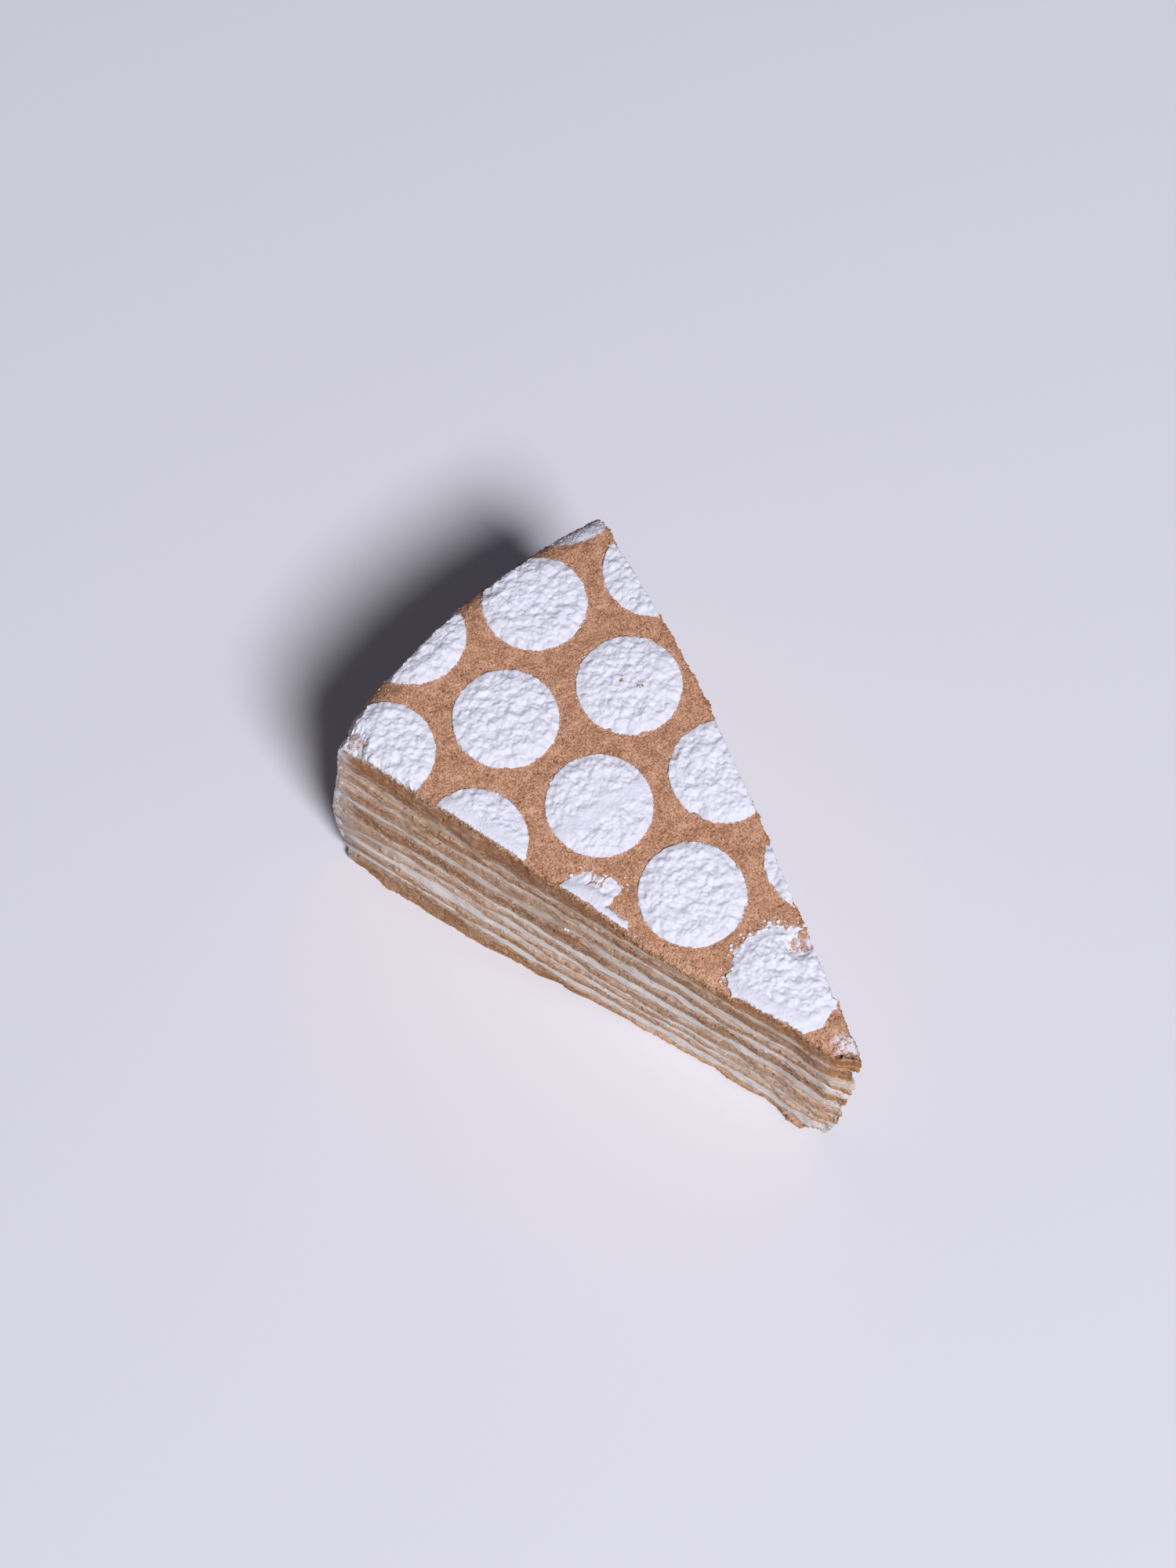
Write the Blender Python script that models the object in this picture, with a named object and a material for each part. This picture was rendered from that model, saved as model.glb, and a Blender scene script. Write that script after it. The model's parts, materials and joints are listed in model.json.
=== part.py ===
"""A slice of layered honey cake, standing as it was cut, in metres with +Z up.

Eight biscuit layers and seven cream layers run the whole length of the slice.  A coat of
cream covers their outer ends, a coat of crumbs covers the top and the outer side, and discs
of icing sugar lie on the top in a triangular pattern.  The shapes are laid out round the
point where the two cuts would meet, with the outer side towards -X, and the finished slice
is moved so that the middle of its base is the origin.
"""

import math

import bmesh
import bpy
import numpy as np
from mathutils import Vector, noise

# Driving dimensions, in metres
HEIGHT = 0.066                      # the floor to the top of the crumbs
TIP_FRONT = Vector((-0.0099, -0.0008))  # the tip is blunt
TIP_BACK = Vector((-0.0065, 0.0019))
RIM_CENTRE = Vector((0.0100, 0.0110))   # centre of the round outer side
RIM_RADIUS = 0.1353
FRONT_CORNER_ANGLE = math.radians(200.4)   # where the two cuts meet the outer side
BACK_CORNER_ANGLE = math.radians(169.8)
SHOULDER = 0.0065                   # rounding between the top and the outer side
DOME_DROP = 0.0035                  # how far the top falls towards the rim
CRUMB_COAT = 0.0018                 # crumbs on the top
CRUMB_SIDE = 0.0009                 # crumbs on the outer side
CREAM_COAT = 0.0022
GAP = 0.0003                        # clearance kept between touching solids
FLOOR_CLEARANCE = 0.0004            # the coats stop just above the floor
LAYER_SLOPE = 0.00025               # extra clearance under the sloping crumb coat

# How the cuts and the outer side bow outwards, in metres; the places are shares of the
# slice's length from the tip, or of its height from the base
FRONT_TOP_BOW = 0.0009
FRONT_TOP_BELLY = 0.0018
FRONT_BELLY_PLACE, FRONT_BELLY_WIDTH = 0.29, 0.23
FRONT_BASE_SPREAD = 0.0045
FRONT_BASE_STRETCH = (0.15, 0.82)
FRONT_CORNER_TUCK = 0.0022
FRONT_CORNER_STRETCH = (0.87, 1.0)
FRONT_TIP_FLARE, FRONT_TIP_STRETCH = 0.0010, (0.0, 0.08)
BACK_BASE_BOW, BACK_EXTRA_TOP_BOW, BACK_BOW_SKEW = 0.0016, 0.0010, 1.25
TIP_BOW, TIP_BOW_SKEW = 0.027, 0.57     # the bow is a share of the slice's length
BARREL, BARREL_PLACE, BARREL_WIDTH = 0.0026, 0.33, 0.27
BARREL_FOOT, BARREL_FOOT_HEIGHT = 0.0012, 0.2
BARREL_FADE = 6                     # how soon the barrel dies away inwards

# How the top falls towards the rim, less at the front than at the back, and its ripple
DOME_FRONT_SHARE = 0.25
DOME_BACK_STRETCH = (-0.030, 0.035)
DOME_REACH = 0.045
RIPPLE, RIPPLE_SCALE = 0.0003, 55.0

# Thickness of each layer along the front cut, bottom to top, in millimetres; the stations are
# shares of the slice's length from its rim
STATIONS = (0.03, 0.12, 0.24, 0.36, 0.47, 0.57, 0.67, 0.82, 0.92, 1.0)
BISCUITS = (
    (3.0, 10.0, 10.5, 7.4, 5.1, 3.6, 1.2, 1.4, 1.8, 3.0),
    (2.2, 3.8, 1.7, 3.9, 3.4, 3.3, 3.0, 2.3, 2.3, 2.5),
    (1.5, 2.7, 1.5, 2.1, 1.5, 2.1, 3.4, 2.1, 2.8, 3.0),
    (7.5, 4.0, 3.2, 2.8, 4.0, 3.5, 4.9, 3.9, 4.7, 3.6),
    (5.5, 6.6, 6.1, 5.6, 7.7, 4.2, 4.4, 7.5, 5.6, 4.8),
    (6.2, 4.9, 5.2, 4.6, 4.6, 3.9, 5.1, 3.3, 3.0, 3.2),
    (5.5, 3.1, 4.7, 2.1, 3.0, 3.0, 3.7, 7.0, 6.5, 5.4),
    (6.9, 8.6, 7.3, 9.8, 7.2, 4.9, 2.7, 3.7, 6.2, 6.0),
)
CREAMS = (
    (4.8, 2.5, 2.0, 4.1, 4.9, 5.6, 7.3, 8.4, 8.3, 7.5),
    (5.2, 3.7, 8.1, 4.4, 4.5, 3.9, 2.6, 3.5, 3.9, 3.5),
    (3.3, 3.3, 3.0, 4.3, 4.7, 3.6, 3.6, 5.0, 2.5, 3.2),
    (2.0, 1.2, 2.1, 2.7, 3.9, 7.5, 6.9, 5.1, 5.9, 6.3),
    (3.2, 3.3, 3.4, 4.3, 4.4, 6.0, 7.6, 3.2, 4.1, 5.0),
    (2.8, 3.2, 1.6, 3.3, 2.6, 5.2, 5.2, 5.0, 4.0, 3.0),
    (2.4, 2.4, 3.4, 2.6, 2.5, 3.7, 2.4, 2.8, 2.4, 3.4),
)
BACK_EVENNESS = 0.5                 # the back cut's layers are nearer to one thickness
BACK_THICKNESS = 2.1
BACK_UNEVENNESS = 0.22              # shares of the thickness
FRONT_UNEVENNESS = 0.03
WAVE_ALONG, WAVE_ACROSS, WAVE_SEED, WAVE_GAIN = 4.5, 1.6, 7.31, 1.6
HUMP_PLACE = 0.51                   # a fold in the fifth biscuit, from the rim, and its size
HUMP_WIDTH = 0.03
HUMP_HEIGHT = 2.5                   # millimetres, as the thicknesses above
HUMP_LAYER = 4
HUMP_TAKEN = 0.9                    # how much of it the cream above gives up

# Unevenness of the layers' edges, in metres
CREAM_RECESS = 0.0003
BISCUIT_RAGGED = 0.0004
CREAM_RAGGED = 0.00025
RAGGED_SCALE = 9.0
TIP_STRETCH = 0.10                  # the last share of the slice, where the layers end unevenly
TIP_REACH = (                       # how far each layer stands out there, in millimetres
    0.0, 0.3, -0.3, 0.0, 0.2, -0.2, 0.1, -0.4, 0.2, -0.3, 0.8, 0.4, 0.1, -1.0, 1.1,
)
THICKNESS_SEED, FRONT_SEED, BACK_SEED = 20, 60, 80
CREAM_START = 1.42                  # where on the rounded shoulder the outer cream starts

# Icing sugar discs
DOT_RADIUS = 0.0103
DOT_THICKNESS = 0.0009
DOT_LUMP = 0.0003
DOT_FIRST = Vector((-0.1140, 0.0122))
DOT_SPACING = 0.0249
DOT_ALONG = math.radians(6.2)       # directions of the pattern's two rows
DOT_ACROSS = math.radians(-52.6)
DOT_PLACES = (                      # columns and rows of a nearly even pattern
    (-0.027, -0.012), (0.996, -0.022), (1.998, -0.011), (3.014, -0.009), (-0.010, 0.998),
    (1.001, 1.004), (1.993, 1.013), (2.951, 1.006), (-1.029, 1.010), (-1.019, 2.008),
    (-0.012, 2.016), (1.039, 2.006), (0.974, -1.025),
)
DOT_EDGE_INSET = 0.0004             # sugar stops this far inside a cut
DOT_RIM_INSET = 0.0020              # and this far inside the outer side
DOT_BRIDGE = 0.0004                 # extra clearance where it bridges the rounded shoulder
DOT_UNROUND, DOT_UNROUND_SCALE = 0.025, 300.0
DOT_EDGE_THINNING, DOT_EDGE_FADE = 0.35, 6
DOT_LUMP_SCALE, DOT_LUMP_SEED = 420.0, 9.0

# Fineness of the meshes
LAYER_SEGMENTS = (26, 4)
COAT_TOP_SEGMENTS = 24
COAT_SHOULDER_SEGMENTS = 7
COAT_SIDE_SEGMENTS = 6
COAT_ACROSS = 10
CREAM_COAT_SEGMENTS = 12
OUTLINE_STEPS = 30
DOT_SEGMENTS = 26
DOT_RINGS = 3

MILLIMETRE = 0.001
COLLECTION = "honey_cake"


def clear_scene():
    """Starts from an empty scene."""
    for old in list(bpy.data.objects):
        bpy.data.objects.remove(old, do_unlink=True)


def new_collection(name):
    """Adds a collection to the scene."""
    collection = bpy.data.collections.new(name)
    bpy.context.scene.collection.children.link(collection)
    return collection


def new_material(name, colour, roughness):
    """A plain Principled material."""
    material = bpy.data.materials.new(name)
    material.use_nodes = True
    shader = material.node_tree.nodes["Principled BSDF"]
    shader.inputs["Base Color"].default_value = (*colour, 1.0)
    shader.inputs["Roughness"].default_value = roughness
    shader.inputs["Metallic"].default_value = 0.0
    return material


def smooth(value, low=0.0, high=1.0):
    """Smooth step from 0 at low to 1 at high."""
    t = min(max((value - low) / (high - low), 0.0), 1.0)
    return t * t * (3.0 - 2.0 * t)


def bump(value, centre, width):
    """A bell of height 1."""
    return math.exp(-((value - centre) / width) ** 2)


def wave(along, across, seed):
    """Slow unevenness between about -1 and 1, different for each seed."""
    place = Vector((along * WAVE_ALONG, across * WAVE_ACROSS, seed * WAVE_SEED))
    return noise.noise(place) * WAVE_GAIN


def rim_point(across):
    """A point of the round outer side, from the front corner (0) to the back corner (1)."""
    angle = FRONT_CORNER_ANGLE + (BACK_CORNER_ANGLE - FRONT_CORNER_ANGLE) * across
    return RIM_CENTRE + RIM_RADIUS * Vector((math.cos(angle), math.sin(angle)))


def front_bulge(along, height):
    """How far the front cut stands out from a straight one; along runs from the tip to the rim."""
    top = FRONT_TOP_BOW * math.sin(math.pi * along)
    top += FRONT_TOP_BELLY * bump(along, FRONT_BELLY_PLACE, FRONT_BELLY_WIDTH)
    base = FRONT_BASE_SPREAD * smooth(along, *FRONT_BASE_STRETCH)
    base -= FRONT_CORNER_TUCK * smooth(along, *FRONT_CORNER_STRETCH)
    flare = FRONT_TIP_FLARE * (1.0 - smooth(along, *FRONT_TIP_STRETCH))
    return base + (top - base) * height + flare


def back_bulge(along, height):
    """How far the back cut stands out from a straight one."""
    bow = BACK_BASE_BOW + BACK_EXTRA_TOP_BOW * height
    return bow * math.sin(math.pi * max(along, 0.0) ** BACK_BOW_SKEW)


def tip_bulge(height):
    """How far the tip stands out at a height, as a share of the slice's length."""
    return TIP_BOW * math.sin(math.pi * min(max(height, 0.0), 1.0) ** TIP_BOW_SKEW)


def barrel(height):
    """How far the outer side stands out at a height, from 0 at the base to 1 at the top."""
    foot = BARREL_FOOT * (1.0 - smooth(height, 0.0, BARREL_FOOT_HEIGHT))
    return BARREL * bump(height, BARREL_PLACE, BARREL_WIDTH) - foot


def plan(along, across, height, front_out=0.0, back_out=0.0):
    """Place in plan of a point of the slice.

    along runs from the tip (0) to the rim (1), across from the front cut (0) to the back cut
    (1) and height from the base (0) to the top (1).
    """
    tip = TIP_FRONT.lerp(TIP_BACK, across)
    rim = rim_point(across)
    outward = (rim - RIM_CENTRE).normalized()
    place = tip.lerp(rim, along) + outward * barrel(height) * max(along, 0.0) ** BARREL_FADE
    run = (rim - tip).normalized()
    side = Vector((-run.y, run.x))      # towards the front cut
    front_share = (1.0 - across) ** 2
    back_share = across ** 2
    place += side * (front_bulge(along, height) + front_out) * front_share
    place -= side * (back_bulge(along, height) + back_out) * back_share
    return place


def rim_depth(place):
    """How far inside the round outer side a place in plan is."""
    return RIM_RADIUS - (place - RIM_CENTRE).length


def crown(place):
    """Height of the crumbed top, before its edge is rounded."""
    depth = max(rim_depth(place), 0.0)
    backward = smooth(place.y, *DOME_BACK_STRETCH)
    share = DOME_FRONT_SHARE + (1.0 - DOME_FRONT_SHARE) * backward
    fall = DOME_DROP * share * (1.0 - smooth(depth, 0.0, DOME_REACH))
    ripple = RIPPLE * noise.noise(Vector((place.x * RIPPLE_SCALE, place.y * RIPPLE_SCALE, 2.7)))
    return HEIGHT - fall + ripple


def rounding(depth, radius):
    """Drop of a surface rounded over its last stretch, at a depth inside the edge."""
    reach = min(max(radius - depth, 0.0), radius)
    return radius - math.sqrt(radius ** 2 - reach ** 2)


def coat_point(path, across, depth):
    """A point of the coat, at a depth under its surface.

    path runs along the top from the tip (0), over the shoulder (1 to 2) and down the outer
    side to the floor (3).
    """
    length = slice_length(across)
    shoulder_start = 1.0 - SHOULDER / length
    if path <= 1.0:
        place = plan(path * shoulder_start, across, 1.0)
        return Vector((*place, crown(place) - depth))
    level = crown(plan(shoulder_start, across, 1.0)) - SHOULDER
    radius = SHOULDER - depth
    if path <= 2.0:
        turn = math.radians(90.0) * (path - 1.0)
        along = shoulder_start + radius * math.sin(turn) / length
        z = level + radius * math.cos(turn)
    else:
        along = 1.0 - depth / length
        z = level + (FLOOR_CLEARANCE - level) * (path - 2.0)
    upright = smooth(path, 1.0, 1.5)
    place = plan(along, across, 1.0).lerp(plan(along, across, z / HEIGHT), upright)
    return Vector((*place, z))


def slice_length(across):
    """Length of the slice from its tip to its rim."""
    return (rim_point(across) - TIP_FRONT.lerp(TIP_BACK, across)).length


def layer_end(across, depth):
    """How far along the layers reach, for a depth under the outer side."""
    return 1.0 - depth / slice_length(across)


def under_coat(place):
    """Height of the underside of the crumb coat."""
    depth = rim_depth(place) - CRUMB_COAT
    radius = SHOULDER - CRUMB_COAT
    return crown(place) - CRUMB_COAT - rounding(depth, radius)


def layer_thicknesses(along, across):
    """Thickness of the fifteen layers at one place, bottom to top, before they are fitted."""
    from_rim = 1.0 - along
    back = smooth(across) * smooth(along, 0.0, 0.3)
    result = []
    for number in range(len(BISCUITS) + len(CREAMS)):
        rows = CREAMS if number % 2 else BISCUITS
        row = rows[number // 2]
        front = float(np.interp(from_rim, STATIONS, row))
        behind = BACK_EVENNESS * sum(row) / len(row) + BACK_THICKNESS
        behind *= 1.0 + BACK_UNEVENNESS * wave(along, 1.0, number + THICKNESS_SEED)
        front *= 1.0 + FRONT_UNEVENNESS * wave(along * 2.0, 0.0, number)
        result.append(front + (behind - front) * back)
    fold = HUMP_HEIGHT * bump(from_rim, HUMP_PLACE, HUMP_WIDTH) * (1.0 - back)
    result[2 * HUMP_LAYER] += fold
    result[2 * HUMP_LAYER + 1] -= HUMP_TAKEN * fold
    return result


def levels(along, across):
    """Heights of the sixteen boundaries between the floor and the crumb coat."""
    place = plan(along, across, 1.0)
    top = under_coat(place) - LAYER_SLOPE
    heights = np.concatenate(([0.0], np.cumsum(layer_thicknesses(along, across))))
    return heights / heights[-1] * top


def shade(mesh):
    """Shades a mesh smooth, with its sharp edges kept."""
    mesh.shade_smooth()
    mesh.set_sharp_from_angle(angle=math.radians(40.0))


def add_object(name, bm, material, collection):
    """Makes an object of a bmesh."""
    mesh = bpy.data.meshes.new(name)
    bmesh.ops.recalc_face_normals(bm, faces=bm.faces[:])
    if bm.calc_volume(signed=True) < 0.0:
        bmesh.ops.reverse_faces(bm, faces=bm.faces[:])
    bm.to_mesh(mesh)
    bm.free()
    shade(mesh)
    if material:
        mesh.materials.append(material)
    result = bpy.data.objects.new(name, mesh)
    collection.objects.link(result)
    return result


def slab(name, segments, lower, upper, material, collection):
    """A closed solid between two surfaces, each a function of two numbers from 0 to 1."""
    bm = bmesh.new()
    bmesh.ops.create_grid(bm, x_segments=segments[0], y_segments=segments[1], size=0.5)
    lower_verts = bm.verts[:]
    extruded = bmesh.ops.extrude_face_region(bm, geom=bm.faces[:])
    upper_verts = [item for item in extruded["geom"] if isinstance(item, bmesh.types.BMVert)]
    for surface, verts in ((lower, lower_verts), (upper, upper_verts)):
        for vert in verts:
            vert.co = surface(vert.co.x + 0.5, vert.co.y + 0.5)
    return add_object(name, bm, material, collection)


def layer_surface(number, boundary, clearance, ragged):
    """The surface of one layer at one of its two boundaries."""
    coats = CRUMB_SIDE + CREAM_COAT + 2.0 * GAP
    recess = -CREAM_RECESS if number % 2 else 0.0

    def surface(along, across):
        end = layer_end(across, coats)
        at_tip = 1.0 - smooth(along, 0.0, TIP_STRETCH)
        front_out = recess + ragged * wave(along * RAGGED_SCALE, 0.0, number + FRONT_SEED)
        back_out = recess + ragged * wave(along * RAGGED_SCALE, 1.0, number + BACK_SEED)
        z = levels(along * end, across)[boundary] + clearance
        torn = TIP_REACH[number] * MILLIMETRE / slice_length(across)
        reach = along * end - (tip_bulge(z / HEIGHT) + torn) * at_tip
        return Vector((*plan(reach, across, z / HEIGHT, front_out, back_out), z))

    return surface


def build_layers(biscuit, cream, collection):
    """The biscuit and cream layers, from the floor to the crumb coat."""
    count = len(BISCUITS) + len(CREAMS)
    for number in range(count):
        kind = "cream" if number % 2 else "biscuit"
        ragged = CREAM_RAGGED if number % 2 else BISCUIT_RAGGED
        lower = layer_surface(number, number, 0.0 if number == 0 else GAP / 2.0, ragged)
        upper = layer_surface(number, number + 1, -GAP / 2.0, ragged)
        material = cream if number % 2 else biscuit
        name = f"{kind}_layer_{number // 2 + 1}"
        slab(name, LAYER_SEGMENTS, lower, upper, material, collection)


def crumb_depth(path):
    """Thickness of the crumb coat, which thins over the shoulder."""
    return CRUMB_COAT + (CRUMB_SIDE - CRUMB_COAT) * smooth(path, 1.0, 2.0)


def build_cream_coat(material, collection):
    """The cream over the outer ends of the layers, rounded under the crumb coat."""
    inner_depth = CRUMB_SIDE + GAP + CREAM_COAT

    def outer(share, across):
        path = CREAM_START + (3.0 - CREAM_START) * share
        return coat_point(path, across, crumb_depth(path) + GAP)

    def inner(share, across):
        z = outer(share, across).z
        return Vector((*plan(layer_end(across, inner_depth), across, z / HEIGHT), z))

    segments = (CREAM_COAT_SEGMENTS, COAT_ACROSS)
    slab("cream_coat", segments, inner, outer, material, collection)


def build_crumb_coat(material, collection):
    """The crumbs on the top and the outer side, in one piece over the rounded shoulder."""
    counts = (COAT_TOP_SEGMENTS, COAT_SHOULDER_SEGMENTS, COAT_SIDE_SEGMENTS)
    total = sum(counts)

    def path_of(share):
        step = share * total
        for number, count in enumerate(counts):
            if step <= count + 1e-6:
                return number + step / count
            step -= count
        return 3.0

    def outer(share, across):
        return coat_point(path_of(share), across, 0.0)

    def inner(share, across):
        path = path_of(share)
        return coat_point(path, across, crumb_depth(path))

    slab("crumb_coat", (total, COAT_ACROSS), inner, outer, material, collection)


def outline_cutter(collection):
    """An upright prism of the top's outline, a little inside its edges, which trims the sugar."""
    shares = [step / OUTLINE_STEPS for step in range(OUTLINE_STEPS)]
    places = [plan(share, 0.0, 1.0, -DOT_EDGE_INSET) for share in shares]
    places += [rim_point(share) for share in shares]
    places += [plan(1.0 - share, 1.0, 1.0, 0.0, -DOT_EDGE_INSET) for share in shares + [1.0]]
    for number, place in enumerate(places):
        depth = rim_depth(place)
        if depth < DOT_RIM_INSET:
            inward = (RIM_CENTRE - place).normalized()
            places[number] = place + inward * (DOT_RIM_INSET - depth)
    bm = bmesh.new()
    ring = [bm.verts.new((*place, 0.5 * HEIGHT)) for place in places]
    face = bm.faces.new(ring)
    extruded = bmesh.ops.extrude_face_region(bm, geom=[face])
    top = [item for item in extruded["geom"] if isinstance(item, bmesh.types.BMVert)]
    bmesh.ops.translate(bm, vec=(0.0, 0.0, HEIGHT), verts=top)
    cutter = add_object("slice_outline", bm, None, collection)
    cutter.hide_render = True
    cutter.display_type = "WIRE"
    return cutter


def dot_centre(column, row):
    """Middle of one sugar disc of the triangular pattern."""
    along = Vector((math.cos(DOT_ALONG), math.sin(DOT_ALONG)))
    across = Vector((math.cos(DOT_ACROSS), math.sin(DOT_ACROSS)))
    return DOT_FIRST + DOT_SPACING * (along * column + across * row)


def dot_height(place):
    """Height of the sugar's underside, carried on level past the shoulder."""
    depth = max(rim_depth(place), DOT_RIM_INSET)
    steepness = max(SHOULDER - depth, 0.0) / SHOULDER
    return crown(place) - rounding(depth, SHOULDER) + GAP + DOT_BRIDGE * steepness


def build_dot(number, centre, cutter, material, collection):
    """A low disc of icing sugar with a lumpy top, trimmed where the cake ends."""
    bm = bmesh.new()
    bmesh.ops.create_circle(bm, segments=DOT_SEGMENTS, radius=DOT_RADIUS / DOT_RINGS, cap_ends=True,
                            cap_tris=True)
    for ring in range(1, DOT_RINGS):
        rim_edges = [edge for edge in bm.edges if edge.is_boundary]
        grown = bmesh.ops.extrude_edge_only(bm, edges=rim_edges)
        verts = [item for item in grown["geom"] if isinstance(item, bmesh.types.BMVert)]
        bmesh.ops.scale(bm, vec=Vector.Fill(3, (ring + 1.0) / ring), verts=verts)
    raised = bmesh.ops.extrude_face_region(bm, geom=bm.faces[:])
    upper_verts = [item for item in raised["geom"] if isinstance(item, bmesh.types.BMVert)]
    for vert in bm.verts:
        seed = Vector((vert.co.x * DOT_UNROUND_SCALE, vert.co.y * DOT_UNROUND_SCALE, number))
        place = centre + vert.co.xy * (1.0 + DOT_UNROUND * noise.noise(seed))
        vert.co = (*place, dot_height(place))
    for vert in upper_verts:
        share = ((vert.co.xy - centre).length / DOT_RADIUS) ** DOT_EDGE_FADE
        seed = Vector((*vert.co.xy * DOT_LUMP_SCALE, DOT_LUMP_SEED))
        vert.co.z += DOT_THICKNESS * (1.0 - DOT_EDGE_THINNING * min(share, 1.0))
        vert.co.z += DOT_LUMP * noise.noise(seed)
    dot = add_object(f"sugar_dot_{number}", bm, material, collection)
    trim = dot.modifiers.new("trim", "BOOLEAN")
    trim.operation = "INTERSECT"
    trim.solver = "EXACT"
    trim.object = cutter
    return dot


def centre_on_base(collection):
    """Moves every piece so that the middle of the base of the whole slice is the origin."""
    bpy.context.view_layer.update()
    corners = np.array([piece.matrix_world @ Vector(corner)
                        for piece in collection.objects for corner in piece.bound_box])
    middle = 0.5 * (corners.min(axis=0) + corners.max(axis=0))
    for piece in bpy.data.objects:
        piece.location -= Vector((middle[0], middle[1], 0.0))


def main():
    """Builds the slice."""
    clear_scene()
    parts = new_collection(COLLECTION)
    cutters = new_collection("cutters")
    biscuit = new_material("biscuit", (0.42, 0.24, 0.14), 0.85)
    cream = new_material("cream", (0.80, 0.76, 0.72), 0.5)
    crumbs = new_material("crumbs", (0.47, 0.25, 0.13), 0.9)
    sugar = new_material("sugar", (0.86, 0.87, 0.90), 0.9)
    build_layers(biscuit, cream, parts)
    build_cream_coat(cream, parts)
    build_crumb_coat(crumbs, parts)
    cutter = outline_cutter(cutters)
    for number, (column, row) in enumerate(DOT_PLACES, start=1):
        build_dot(number, dot_centre(column, row), cutter, sugar, parts)
    centre_on_base(parts)


main()
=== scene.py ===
"""Looks for the honey cake slice: torn and smeared layers, crumbs and stencilled icing sugar."""

import json
import math

import bmesh
import bpy
import numpy as np
from mathutils import Matrix, Vector

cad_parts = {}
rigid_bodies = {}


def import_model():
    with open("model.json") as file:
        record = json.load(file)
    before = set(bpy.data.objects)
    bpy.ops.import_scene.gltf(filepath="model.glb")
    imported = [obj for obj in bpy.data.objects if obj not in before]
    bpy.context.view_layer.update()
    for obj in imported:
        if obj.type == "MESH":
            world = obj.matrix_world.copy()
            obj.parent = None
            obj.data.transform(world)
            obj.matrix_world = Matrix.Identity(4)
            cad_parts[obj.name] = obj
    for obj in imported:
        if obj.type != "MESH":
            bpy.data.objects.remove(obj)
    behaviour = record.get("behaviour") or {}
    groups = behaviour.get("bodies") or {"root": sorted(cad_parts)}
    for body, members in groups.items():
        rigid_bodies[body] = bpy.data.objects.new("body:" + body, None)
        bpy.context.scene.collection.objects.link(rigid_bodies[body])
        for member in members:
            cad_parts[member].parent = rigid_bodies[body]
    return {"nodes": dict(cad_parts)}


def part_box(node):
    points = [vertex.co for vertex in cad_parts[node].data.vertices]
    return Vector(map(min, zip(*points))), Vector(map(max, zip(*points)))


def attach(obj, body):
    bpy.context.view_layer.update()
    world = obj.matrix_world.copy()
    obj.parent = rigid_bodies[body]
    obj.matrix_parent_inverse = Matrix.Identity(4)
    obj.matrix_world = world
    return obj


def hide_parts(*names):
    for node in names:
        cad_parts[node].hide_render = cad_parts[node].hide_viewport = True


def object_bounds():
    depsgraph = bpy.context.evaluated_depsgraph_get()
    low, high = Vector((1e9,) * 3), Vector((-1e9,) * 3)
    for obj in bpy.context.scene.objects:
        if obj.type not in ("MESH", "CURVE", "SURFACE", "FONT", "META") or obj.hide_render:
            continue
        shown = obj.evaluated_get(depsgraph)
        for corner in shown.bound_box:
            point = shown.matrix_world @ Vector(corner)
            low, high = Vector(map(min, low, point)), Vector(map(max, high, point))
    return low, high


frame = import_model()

CAD_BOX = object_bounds()
HIGH = CAD_BOX[1]

MM = 0.001
BISCUITS = 8
CREAMS = 7
WELD = 0.02 * MM

# Fineness of the meshes
COLUMN_CUTS = 17                    # new columns in each step of a layer's outline
TIP_CUTS = 3                        # new columns across the blunt tip
ROW_HEIGHT = 0.30 * MM              # rows on a layer's cut face
CREAM_VOXEL = 0.55 * MM
COAT_VOXEL = 0.36 * MM
DOT_VOXEL = 0.19 * MM
HIDDEN_SHARE = 0.06                 # of the faces, where a piece lies against another
TIP_FACE = 3.6 * MM                 # how far back the blunt tip reaches

# How brown each biscuit is and how many crumbs were dragged over each cream, bottom to top,
# from the outer side to the tip
TONE_PLACES = (-0.046, -0.0235, 0.002, 0.0235, 0.050)
TONES = {
    "biscuit": (
        (0.65, 0.75, 0.75, 0.10, 0.35),
        (0.60, 0.45, 0.62, 0.40, 0.05),
        (0.15, 0.30, 0.60, 0.40, 0.25),
        (0.30, 0.50, 0.60, 0.45, 0.20),
        (1.00, 0.75, 0.80, 0.45, 0.70),
        (0.60, 0.50, 0.40, 0.55, 0.50),
        (0.65, 0.75, 0.80, 0.70, 0.80),
        (1.00, 0.95, 1.00, 0.75, 0.80),
    ),
    "cream": (
        (0.00, 0.35, 0.00, 0.00, 0.05),
        (0.00, 0.00, 0.25, 0.20, 0.20),
        (0.45, 0.60, 0.05, 0.10, 0.30),
        (0.90, 0.45, 0.00, 0.05, 0.45),
        (0.45, 0.60, 0.85, 0.05, 0.45),
        (0.70, 0.70, 0.70, 0.25, 0.65),
        (0.95, 1.00, 0.90, 0.90, 0.60),
    ),
}
ROUGH_BISCUITS = (1, 5)
SWOLLEN_CREAMS = (5, 6)             # these bulge out at the tip

# The front cut, from its corner at the outer side to the tip, and the round outer side
FRONT_CORNER = Vector((-0.0513, -0.0346))
FRONT_TIP = Vector((0.0556, 0.0008))
FRONT_RUN = (FRONT_TIP - FRONT_CORNER).normalized()
INWARD = (-FRONT_RUN.y, FRONT_RUN.x, 0.0)
RIM_CENTRE = Vector((0.0755, 0.0126))
RIM_RADIUS = 0.1353

# How far the front cut bows out along its top, more at a belly, and along its base, less at
# the corner; the belly's place and width are shares of the cut's length, from the tip
TOP_BOW = 0.9 * MM
BELLY_BOW = 1.8 * MM
BELLY_PLACE = 0.29
BELLY_WIDTH = 0.23
BASE_BOW = 4.5 * MM
CORNER_BOW = -2.2 * MM

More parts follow.
